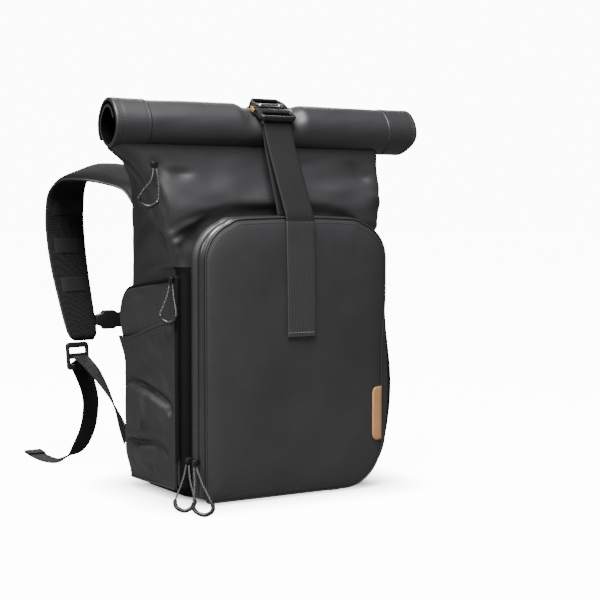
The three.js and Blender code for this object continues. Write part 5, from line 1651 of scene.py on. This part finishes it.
@dataclass
class BuckleAndWebbing:
    """The webbing over the roll with its metal buckle, and its free end down the front."""

    bench: Bench
    roll: Roll
    pocket: FrontPocket
    half_width: float = 24
    half_length: float = 23
    thickness: float = 6
    bar: float = 5
    chamfer: float = 7
    split: float = 1
    slot: float = 7
    webbing: float = 38
    cloth: float = 1.8
    tail_end: float = 188

    def __post_init__(self) -> None:
        """Finds the buckle's seat and directions."""
        angle = math.radians(self.roll.buckle)
        self.out = np.array([0, math.cos(angle), math.sin(angle)])
        self.down = np.array([0, -math.sin(angle), math.cos(angle)])
        reach = float(self.roll.reach(self.roll.buckle, 1)) + self.cloth + 3 * GAP
        self.base = np.array([0, self.roll.y, self.roll.z]) + self.out * reach
        self.lift = self.cloth / 2 + GAP

    def on_buckle(self, obj: Object, u: float, v: float, w: float) -> Object:
        """Puts a piece on the buckle: u to the left, v down the front, w out."""
        at = self.base - X * u + self.down * v + self.out * w
        return seat(obj, -X, self.down, self.out, at)

    def buckle(self) -> None:
        """Both plates, the rivets and the tabs."""
        w, end, c = self.half_width, self.half_length, self.chamfer
        frame = np.array(
            [
                (-w, self.split), (w, self.split), (w, end - c / 2), (w - c / 2, end), (-w + c / 2, end),
                (-w, end - c / 2),
            ]
        )
        hole = rounded(-w + self.bar, end - self.bar - self.slot, w - self.bar, end - self.bar, 1.2)
        piece = self.on_buckle(plate("Buckle_frame", frame, self.thickness, 1.1, (hole,)), 0, 0, self.thickness / 2)
        self.bench.place(piece, ("Black metal",), ("buckle_frame",))
        body = np.array(
            [
                (-w, -self.split + GAP), (-w, -end + 1.4 * c), (-w + c, -end), (w - c, -end), (w, -end + 1.4 * c),
                (w, -self.split + GAP),
            ]
        )
        hole = rounded(-w + c, -end + self.bar, w - c, -end + self.bar + self.slot, 1.2)
        piece = self.on_buckle(plate("Buckle_body", body, self.thickness, 1.1, (hole,)), 0, 0, self.thickness / 2)
        self.bench.place(piece, ("Black metal",), ("buckle_body",))
        raised = rounded(-w + 7, -3.5, w - 7, -0.6, 1.2)
        step = self.on_buckle(plate("Buckle_step", raised, 0.8, 0.3), 0, 0, self.thickness + 0.1)
        self.bench.place(step, ("Black metal",))
        for name, side in (("left", -1), ("right", 1)):
            turn = np.arange(28) / 28 * 2 * math.pi
            rings = []
            for radius, height in (
                (2.4, 0), (2.4, 0.25), (2.1, 0.62), (1.6, 0.86), (1.0, 1.02), (0.5, 1.1), (0.1, 1.12),
            ):
                rings.append(np.stack([radius * np.cos(turn), radius * np.sin(turn), height + 0 * turn], 1))
            rivet = mesh_object(f"Buckle_rivet_{name}", [Patch(np.array(rings), wrap=True, ends=Ends.CAPS)])
            self.on_buckle(rivet, -side * 13, -self.split - 4.8, self.thickness + GAP)
            self.bench.place(rivet, ("Rivet steel",), (f"buckle_rivet_{name}",))
            tab = plate(f"Buckle_tab_{name}", rounded(-1.3, -4.5, 1.3, 4.5, 0.9), 4.5, 0.5)
            self.on_buckle(tab, -side * (w + GAP + 1.3), 0, self.thickness / 2)
            self.bench.place(tab, ("Brass tab",), (f"buckle_tab_{name}",))

    def ribbon(self, name: str, points: list[Array], node: str) -> Array:
        """A stretch of the webbing; returns its path."""
        path = evenly(through(np.array(points), 12), 1.6)
        across = np.tile(X, (len(path), 1))
        rows = strap(path, across, self.webbing, self.cloth)
        self.bench.solid(name, rows, "Webbing", node, 50)
        return path

    def over(self) -> list[Array]:
        """The path from the back panel's top over the roll to the buckle."""
        points = [np.array([0, 91.8, 342.0])]
        for rise, lean in ((0.64, 0.06), (0.74, 0.29), (0.86, 0.62), (0.95, 0.88)):
            points.append(
                np.array(
                    [
                        0, mix(BodyShell.back, BodyShell.mouth_back, lean) + self.lift + 2,
                        mix(BodyShell.shoulder, BodyShell.mouth, rise),
                    ]
                )
            )
        for angle in range(-20, 93, 14):
            reach = float(self.roll.reach(angle, 1)) + self.lift + 0.4
            turn = math.radians(angle)
            points.append(np.array([0, self.roll.y + reach * math.cos(turn), self.roll.z + reach * math.sin(turn)]))
        return points

    def on_face(self, z: float) -> Array:
        """The tail's place on the pocket's face at a height."""
        return np.array([0, -(self.pocket.face_depth(0, z) + self.lift + 1), z])

    def build(self) -> None:
        """Makes the buckle and the three stretches of webbing."""
        self.buckle()
        self.ribbon("Strap_over", self.over(), "strap_over")
        centre = self.base + self.down * (self.half_length - self.bar / 2)
        start = centre - self.out * self.lift
        top = self.pocket.height + self.pocket.arch
        hang = self.on_face(top - 22) + Z * 18
        points = [start]
        for t, sag in ((0.1, 2.2), (0.3, 3), (0.55, 1.5), (0.8, 0)):
            points.append(np.array([0, mix(start[1], hang[1], t) + sag, mix(start[2] - 2, hang[2], t)]))
        lower = [self.on_face(mix(top - 16, self.tail_end, s)) for s in (0.15, 0.4, 0.7, 1)]
        whole = evenly(through(np.array([*points, hang, *lower]), 12), 1.6)
        cut = int(np.argmax(whole[:, 2] < top - 6))
        rows = strap(whole, np.tile(X, (len(whole), 1)), self.webbing, self.cloth)
        # One strap in a lit and a shaded copy: on the pocket's face the lighter webbing with painted sheen, above it
        # the darker plain webbing as painted shade.
        self.bench.solid("Strap_tail", rows[cut:], "Glossy webbing with painted sheen", "strap_tail", 50)
        self.bench.solid("Strap_tail_upper", rows[: cut + 1], "Webbing", "", 50)
        seat_point = np.array([0, -(self.pocket.front + GAP + self.pocket.depth * 0.74), top + 1.1])
        start = start + np.array([0, self.cloth + 0.5, -3])
        points = [start]
        for t, sag in ((0.12, 3), (0.3, 4.5), (0.5, 3), (0.8, 1)):
            points.append(np.array([0, mix(start[1], seat_point[1], t) + sag, mix(start[2], seat_point[2], t)]))
        self.ribbon("Strap_anchor", [*points, seat_point], "strap_anchor")
        z = self.tail_end + 4.5
        line = evenly(np.array([self.on_face(z) - Y * 1.05 + X * x for x in (-17.5, 17.5)]), 2)
        self.bench.stitches("Tail_stitches", line, "Thread", 1.6, 0.7, 0.4)


# Sides


@dataclass
class SideDoors:
    """The padded side doors and the stretch pockets on them."""

    bench: Bench
    half_width: float = 128
    front: float = 50
    back: float = 74
    bottom: float = 16
    top: float = 258
    slope: float = 20
    corner: float = 34
    edge: float = 3
    swell: float = 17
    mouth_front: float = 205
    mouth_back: float = 181
    pocket_wall: float = 2.4
    room: float = 14
    side_edge: float = 3
    tuck: float = 15
    pocket_bottom: float = 12
    door_creases: tuple[Crease, ...] = (
        Crease(((-143, 77, 208), (-143, 68, 223), (-143, 48, 234), (-143, 10, 240), (-136, -38, 246)), 2.6, -2.6),
        Crease(((-142, 60, 234), (-141, 30, 243), (-140, -10, 249), (-134, -45, 251)), 4.0, 1.6),
    )
    pocket_creases: tuple[Crease, ...] = (
        Crease(((-150, 79, 126), (-152, 53, 131), (-148, 20, 129), (-142, -12, 120), (-138, -33, 111),
            (-137, -38, 102)), 4.6, -9.5),
        Crease(((-150, 79, 134), (-152, 53, 139), (-148, 20, 137), (-142, -14, 128), (-138, -38, 116)), 7.5, 3.0),
        Crease(((-148, 65, 63), (-148, 42, 59), (-146, 14, 60), (-143, -13, 61), (-140, -28, 56), (-138, -33, 50)),
            4.2, -6.5),
        Crease(((-148, 65, 70), (-148, 42, 66), (-146, 14, 67), (-143, -15, 68), (-140, -34, 60)), 5.5, 3.0),
        Crease(((-150, 40, 108), (-149, 26, 100), (-147, 8, 92), (-143, -8, 84)), 17.0, 3.0),
        Crease(((-148, 34, 40), (-147, 14, 38), (-144, -8, 36)), 11.0, 4.0),
        Crease(((-148, 15, 112), (-148, 9, 92), (-147, 16, 76), (-147, 21, 64)), 6.0, 2.6),
        Crease(((-152, 70, 170), (-150, 40, 160), (-146, 4, 158), (-140, -26, 168)), 14.0, 2.2),
        Crease(((-146, -34, 196), (-144, -30, 176), (-142, -32, 150), (-140, -36, 128)), 6.0, -2.0),
        Crease(((-138, -49, 190), (-138, -48, 150), (-137, -50, 105)), 3.5, 1.2),
    )

    def lift(self, y: Array, z: Array) -> Array:
        """How far the door stands proud of the body at a place."""
        back = smooth((y + self.front) / (self.back + self.front))
        under = 1 - 0.75 * smooth((self.mouth_back + 25 - z) / 60)
        return self.edge + self.swell * back * under

    def outline(self, inset: float) -> Array:
        """The door's outline as rows of Y and Z."""
        front, back, low = -self.front + inset, self.back - inset, self.bottom + inset
        edge = self.corner - inset / 2

        def top(y: float) -> float:
            """The height of the door's upper edge."""
            return self.top - inset - self.slope * (y + self.front) / (self.back + self.front)

        key = [(front, mix(low, top(front), t)) for t in np.linspace(0, 1, 24)]
        key += [(y, top(y)) for y in np.linspace(front, back - edge, 16)[1:]]
        for share in np.linspace(0, 1, 16)[1:]:
            turn = math.radians(90 - 90 * share)
            key.append((back - edge + edge * math.cos(turn), top(back - edge) - edge + edge * math.sin(turn)))
        key += [(back, mix(top(back - edge) - edge, low + 24, t)) for t in np.linspace(0, 1, 18)[1:]]
        key += [
            (back - 22 * math.sin(a) ** 1.6, low + 24 * (1 - math.sin(a))) for a in np.linspace(0, math.pi / 2, 8)[1:]
        ]
        key += [(mix(back - 22, front, t), low) for t in np.linspace(0, 1, 16)[1:-1]]
        return np.array(key)

    def on_door(self, yz: Array, lift: float, side: int) -> Array:
        """Points of the door's surface over an outline."""
        out = self.half_width + GAP + lift * self.lift(yz[:, 0], yz[:, 1])
        return np.stack([side * out, yz[:, 0], yz[:, 1]], 1)

    def door(self, name: str, side: int) -> None:
        """A padded door with its piping."""
        steps = (
            (0, 0), (0, 0.3), (0.1, 0.55), (0.6, 0.73), (1.5, 0.86), (3, 0.95), (5, 1.0), (9, 1.02), (15, 1.04),
            (22, 1.04),
        )
        rings = [self.on_door(self.outline(inset), lift, side) for inset, lift in steps]
        last = self.outline(22)
        centre = last.mean(0)
        for size in np.linspace(0.94, 0.03, 26):
            rings.append(self.on_door(centre + (last - centre) * size, 1.04, side))
        points = np.array(rings)
        creases = self.door_creases if side < 0 else tuple(crease.mirrored(0.8) for crease in self.door_creases)
        shift = sum(crease(points) for crease in creases) + Ripple(60, 0.45, 41)(points) + Ripple(26, 0.2, 42)(points)
        inside = np.concatenate([[0, 0, 0, 0, 0, 0.3, 0.7], np.ones(len(rings) - 7)])
        points[..., 0] += side * shift * inside[:, None]
        self.bench.solid(f"Side_door_{name}", points, "Coated cloth", f"side_door_{name}", 60)
        edge = self.on_door(self.outline(1.0), 0.72, side)
        keep = edge[:, 2] > self.bottom + 30
        start = int(np.argmax(keep))
        path = evenly(edge[start : start + int(keep.sum())], 2.5)
        path[:, 0] += side * 0.5
        self.bench.rod(f"Side_door_piping_{name}", path, 2.8, "Zip tape and painted shade", 10)

    def pocket_point(self, u: Array, v: Array, side: int, layer: float) -> Array:
        """Points of a pocket: u from front to back, v from bottom to top."""
        tuck = self.tuck * (1 - smooth(v / 0.2))
        front, back = -self.front + 1, self.back + 2
        y = mix(front, back - tuck, u)
        mouth = mix(self.mouth_front, self.mouth_back, smooth(u * 1.2))
        z = mix(self.pocket_bottom, mouth, v)
        rim = np.minimum(np.minimum(u, 1 - u), v * 1.4)
        full = smooth(rim / 0.22)
        room = self.room * mix(0.45, 1, smooth(v * 1.6)) * mix(0.35, 1, smooth(u / 0.6)) * full
        proud = np.maximum(self.lift(y, z) * 1.05 + GAP, self.side_edge) + room * (1 - 0.55 * v * v)
        fold = 0
        for centre_u, centre_v, radius, start, end, depth in (
            (0.56, 0.43, 0.27, 5, 130, 3.4), (0.52, 0.12, 0.22, 0, 120, 2.8),
        ):
            along, up = (u - centre_u) * (back - front), (v - centre_v) * self.mouth_back
            angle = np.degrees(np.arctan2(up, -along))
            off = np.hypot(along, up) / self.mouth_back - radius
            fold = fold + depth * bell(off / 0.09) * bell((angle - (start + end) / 2) / ((end - start) * 0.65))
        out = self.half_width + GAP + proud - fold * full + layer * self.pocket_wall
        return np.stack([side * out, y, z], -1)

    def pocket(self, name: str, side: int) -> None:
        """A stretch pocket with its folds, hem and piping."""
        u, v = np.meshgrid(np.linspace(0, 1, 76), np.linspace(0, 1, 96))
        outer, inner = self.pocket_point(u, v, side, 1), self.pocket_point(u, v, side, 0)
        creases = self.pocket_creases if side < 0 else tuple(crease.mirrored(0.8) for crease in self.pocket_creases)
        rim = smooth(np.minimum(np.minimum(u, 1 - u), np.minimum(v, 1 - v)) / 0.07)
        shift = sum(crease(outer) for crease in creases)
        shift = shift + Ripple(48, 0.7, 51 + side)(outer) + Ripple(20, 0.3, 53 + side)(outer)
        outer[..., 0] += side * shift * rim
        inner[..., 0] += side * np.minimum(shift, 0.0) * rim * 0.8
        loops = np.concatenate([outer, inner[:, ::-1]], axis=1)
        self.bench.solid(f"Side_pocket_{name}", loops, "Stretch cloth", f"side_pocket_{name}", 60, Ends.STRIPS)
        line = np.linspace(0.012, 0.988, 60)
        hem = (self.pocket_point(line, np.ones(60), side, 1) + self.pocket_point(line, np.ones(60), side, 0)) / 2
        self.bench.rod(f"Pocket_hem_{name}", hem, 1.9, "Stretch cloth", 10)
        below = self.pocket_point(line, np.full(60, 0.955), side, 1)
        below[:, 0] += side * 0.15
        self.bench.stitches(f"Hem_stitches_{name}", below, "Thread dull", 2.0, 1.0, 0.3)
        base = self.pocket_point(line, np.full(60, 0.006), side, 0.7)
        self.bench.rod(f"Pocket_piping_{name}", base, 1.9, "Piping", 8)

    def build(self) -> None:
        """Makes both sides."""
        for name, side in (("left", -1), ("right", 1)):
            self.door(name, side)
            self.pocket(name, side)


# Back, carrying straps and base


@dataclass
class Back:
    """The plain padded back with its handle, and the carrying straps."""

    bench: Bench
    back: float = 90
    panel_thickness: float = 9
    panel_half: float = 100
    panel_low: float = 30
    panel_high: float = 338
    strap_width: float = 58
    strap_thickness: float = 11
    lower_width: float = 25
    lower_thickness: float = 1.6
    lock_width: float = 34
    lock_length: float = 36
    lock_slot: float = 7
    sternum_reach: float = 107
    sternum_z: float = 191

    def __post_init__(self) -> None:
        """Finds the back's outer face."""
        self.face = self.back + GAP + self.panel_thickness + GAP

    def panel(self) -> None:
        """The padded panel with its channels."""
        rings = []
        steps = ((0, 0), (0, 0.3), (0.6, 0.6), (2, 0.82), (4.5, 0.95), (8, 1.0), (14, 1.0))
        for inset, height in steps:
            outline = rounded(
                -self.panel_half + inset, self.panel_low + inset, self.panel_half - inset, self.panel_high - inset,
                30 - inset / 2, 12,
            )
            closed = np.vstack([outline, outline[:1]])
            along = lengths(closed)
            at = np.linspace(0, 1, 241)[:-1] * along[-1]
            ring = np.stack([np.interp(at, along, closed[:, i]) for i in range(2)], 1)
            rings.append(
                np.stack([ring[:, 0], np.full(240, self.back + GAP + self.panel_thickness * height), ring[:, 1]], 1)
            )
        last = rings[-1]
        middle = last.mean(0)
        for size in np.linspace(0.96, 0.02, 48):
            rings.append(middle + (last - middle) * size)
        points = np.array(rings)
        x, z = points[..., 0], points[..., 2]
        channel = 3.4 * bell(x / 13) + 1.6 * bell((np.abs(x) - 52) / 5)
        channel = channel + 2.2 * bell((z - 185) / 7) * (np.abs(x) > 8)
        top = smooth((points[..., 1] - self.back - 8) / 1.2)
        points[..., 1] -= channel * top
        self.bench.solid("Back_panel", points, "Air mesh", "back_panel", 60)
        edge = np.vstack([rings[3], rings[3][:2]]) + Y * 0.3
        self.bench.rod("Back_panel_piping", evenly(edge, 3), 1.7, "Piping", 8)

    def handle(self) -> None:
        """The carrying loop at the back's top."""
        t = np.linspace(0, 1, 60)
        reach = 24 * np.sin(math.pi * t) ** 0.75 + 2
        path = evenly(np.stack([mix(-45, 45, t), self.face + reach, np.full(60, 322.0)], 1), 2)
        rows = strap(path, np.tile(Z, (len(path), 1)), 24, 4)
        self.bench.solid("Grab_handle", rows, "Webbing", "grab_handle", 50)

    def route(self, table: Table, side: int, step: float) -> tuple[Array, Array, Array]:
        """A strap's fine centre line, width directions and narrowing.

        Args:
            table: rows of x, y from the back's face, z, the width's direction and a narrowing.
            side: -1 for the left, 1 for the right.
            step: the distance between points.

        Returns:
            The points, directions and narrowing at each.
        """
        rows = np.array([(*row, 1.0)[:7] for row in table], float)
        rows[:, 1] += self.face
        fine = evenly(through(rows, 10), step)
        mirror = np.array([-side, 1, 1])
        return fine[:, :3] * mirror, fine[:, 3:6] * mirror, fine[:, 6]

    def shoulder(self, name: str, side: int) -> None:
        """A shoulder strap: cloth outside, mesh inside, piping and webbing bars."""
        table = (
            (-76, 6, 300, 1, 0, 0, 0.9), (-78, 7, 325, 1, 0, 0, 0.95), (-82, 13, 346, 1, 0, 0.05, 1),
            (-90, 33, 366, 1, 0.1, 0.14, 1), (-104, 64, 378, 1, 0.12, 0.3, 1), (-120, 98, 383, 1, 0.15, 0.35, 1),
            (-131, 132, 381, 1, 0.15, 0.35, 1), (-137, 156, 362, 1, 0.2, 0.25, 1), (-138, 164, 332, 1, 0.22, 0.1, 1),
            (-137, 164, 300, 1, 0.22, 0, 1), (-135, 157, 260, 1, 0.22, 0, 0.96), (-132, 145, 218, 1, 0.22, 0, 0.88),
            (-130, 131, 180, 1, 0.22, 0, 0.78), (-129, 125, 165, 1, 0.22, 0, 0.6),
        )
        path, across, narrow = self.route(table, side, 2.5)
        ends = np.minimum(np.arange(len(path)), np.arange(len(path))[::-1]) * 2.5
        slim = np.sqrt(np.clip(ends / 5, 0.12, 1))
        rows = strap(
            path, across, self.strap_width * narrow * mix(0.86, 1, slim), self.strap_thickness * slim,
            Section.pad(48),
        )
        tangent = unit(np.gradient(path, axis=0))
        side_dir = unit(across - np.sum(across * tangent, axis=1, keepdims=True) * tangent)
        out = np.cross(side_dir, tangent)
        towards_bag = -out if out[len(out) * 2 // 3][1] > 0 else out
        middle = rows.mean(1, keepdims=True)
        height = np.sum((rows - middle) * towards_bag[:, None, :], axis=2)
        columns = (height.mean(0) > 0.2).astype(int)
        patch = Patch(rows, wrap=True, ends=Ends.CAPS, material=columns)
        self.bench.make(
            f"Shoulder_strap_{name}", [patch], ("Strap cloth", "Air mesh"), (f"shoulder_strap_{name}",), 70,
        )
        for number, sign in enumerate((-1, 1)):
            half = self.strap_width * narrow / 2
            line = path + side_dir * (half * mix(0.86, 1, slim) * sign)[:, None] * 0.985
            self.bench.rod(f"Strap_piping_{name}_{number}", evenly(line[2:-2], 4), 1.7, "Piping", 8)
        for number, share in enumerate((0.575, 0.7, 0.82)):
            at = int(len(path) * share)
            bar = path[at] + towards_bag[at] * (self.strap_thickness / 2 + 0.35)
            half = self.strap_width * narrow[at] * 0.5
            reach = np.linspace(-half * 0.93, half * 0.93, 20)
            bow = 0.5 * self.strap_thickness * (
                1 - np.abs(np.linspace(-0.93, 0.93, 20)) ** 4
            ) - self.strap_thickness * 0.5
            line = bar + side_dir[at] * reach[:, None] + towards_bag[at] * bow[:, None]
            band = strap(line, np.tile(tangent[at], (20, 1)), 20, 1.4)
            self.bench.solid(f"Strap_bar_{name}_{number}", band, "Webbing")

    def lower(self, name: str, side: int) -> None:
        """The lower webbing, its free tail, the corner tab and the strap lock."""
        tables = {
            "lower_webbing": (
                (-137, 119.4, 145, 1, 0.22, 0), (-131, 98, 132, 0.95, 0.2, -0.2), (-126, 75, 113, 0.8, 0.35, -0.4),
                (-123, 50, 91, 0.55, 0.55, -0.6), (-122, 28, 68, 0.2, 0.7, -0.65), (-122, 10, 50, 0.05, 0.72, -0.68),
            ),
            "webbing_tail": (
                (-138, 128.2, 140, 1, 0.22, 0), (-128, 133, 122, 1, 0.25, 0.2), (-118, 138, 102, 1, 0.2, 0.2),
                (-113, 141, 78, 1, 0.2, 0.1), (-117, 143, 46, 1, 0.2, 0), (-129, 148, 20, 1, 0.2, 0.2),
                (-144, 158, 6, 0.9, 0.4, 0.3), (-154, 176, 1.6, 0.9, 0.4, 0.05), (-158, 205, 2.6, 1, 0.2, 0),
                    (-160, 232, 6, 1, 0.1, 0),
            ),
        }
        for node, table in tables.items():
            path, across, _ = self.route(table, side, 2.0)
            rows = strap(path, across, self.lower_width, self.lower_thickness)
            patches = [Patch(rows, wrap=True, ends=Ends.CAPS)]
            if node == "webbing_tail":
                fold = strap(path[-9:] + np.array([0, 0, 2.0]), across[-9:], self.lower_width, 1.8)
                patches.append(Patch(fold, wrap=True, ends=Ends.CAPS))
            self.bench.make(f"{node.capitalize()}_{name}", patches, ("Webbing",), (f"{node}_{name}",), 50)
        outline = np.array([(100, 20), (116, 30), (125, 44), (121, 66), (112, 60), (100, 52)], float)
        outline[:, 0] *= side
        tab = plate(f"Strap_tab_{name}", outline, 2.4, 0.7)
        seat(tab, X, Z, -Y, Y * (self.back + GAP + 1.2))
        self.bench.place(tab, ("Coated cloth",), (f"strap_tab_{name}",))
        self.lock(name, side)

    def lock(self, name: str, side: int) -> None:
        """The ladder lock between the padded strap and the lower webbing."""
        half = self.lock_width / 2
        bar = (self.lock_length - 2 * self.lock_slot) / 3
        holes = tuple(
            rounded(-half + 4, low, half - 4, low + self.lock_slot, 1.2) for low in (bar, 2 * bar + self.lock_slot)
        )
        lock = plate(f"Ladder_lock_{name}", rounded(-half, 0, half, self.lock_length, 5), 5, 1.2, holes)
        down = unit(np.array([-side * 0.02, -0.1, -1.0]))
        across = np.array([1.0, side * -0.22, 0])
        across = unit(across - np.dot(across, down) * down)
        seat(lock, across, down, np.cross(across, down), np.array([side * 139.0, self.face + 125, 163]))
        self.bench.place(lock, ("Black plastic",), (f"ladder_lock_{name}",))

    def sternum(self) -> None:
        """The webbing between the shoulder straps with its buckle."""
        y, reach = self.face + 139, self.sternum_reach
        x = np.linspace(-reach + 34 + GAP, reach, 60)
        path = np.stack([x, np.full(60, y), self.sternum_z - 3 * (1 - (x / reach) ** 2)], 1)
        rows = strap(path, np.tile(Z, (60, 1)), 20, self.lower_thickness)
        self.bench.solid("Sternum_webbing", rows, "Webbing", "sternum_webbing", 50)
        outline = [
            (0, -0.5), (0.25, -0.7), (0.35, -1), (0.75, -1), (1, -0.7), (1, 0.7), (0.75, 1), (0.35, 1), (0.25, 0.7),
            (0, 0.5),
        ]
        shape = np.array([(-reach + share * 34, up * 12.5 + self.sternum_z - 1.4) for share, up in outline])
        body = plate("Sternum_buckle", shape, 9, 1.6)
        seat(body, X, Z, -Y, Y * y)
        self.bench.place(body, ("Black plastic",), ("sternum_buckle",))

    def build(self) -> None:
        """Makes the back and both straps."""
        self.panel()
        self.handle()
        for name, side in (("left", -1), ("right", 1)):
            self.shoulder(name, side)
            self.lower(name, side)
        self.sternum()


@dataclass
class Base:
    """The flat base panel and the small foot at the front."""

    bench: Bench
    half: float = 114
    front: float = -48
    back: float = 76
    thickness: float = 5

    def build(self) -> None:
        """Makes the panel and the foot."""
        panel = plate("Base_panel", rounded(-self.half, self.front, self.half, self.back, 18, 8), self.thickness, 1.2)
        seat(panel, X, Y, Z, Z * self.thickness / 2)
        self.bench.place(panel, ("Base cloth",), ("base_panel",))
        foot = plate("Base_foot", rounded(49, -91, 65, -81, 3), 5.3, 1.0)
        seat(foot, X, Y, Z, Z * 2.65)
        self.bench.place(foot, ("Black plastic",), ("base_foot",))


def main() -> None:
    """Builds the whole bag."""
    logging.basicConfig(level=logging.INFO, format="%(name)s: %(message)s")
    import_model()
    Studio().camera()
    bench = Bench(Palette())
    ZipPulls(bench).build()
    pocket, roll = FrontPocket(bench), Roll(bench)
    BodyShell(bench).build()
    pocket.build()
    roll.build()
    BuckleAndWebbing(bench, roll, pocket).build()
    SideDoors(bench).build()
    Back(bench).build()
    Base(bench).build()
    Studio().build()
    bpy.context.view_layer.update()
    log.info("made %d pieces", len(bench.pieces))


if __name__ == "__main__":
    main()
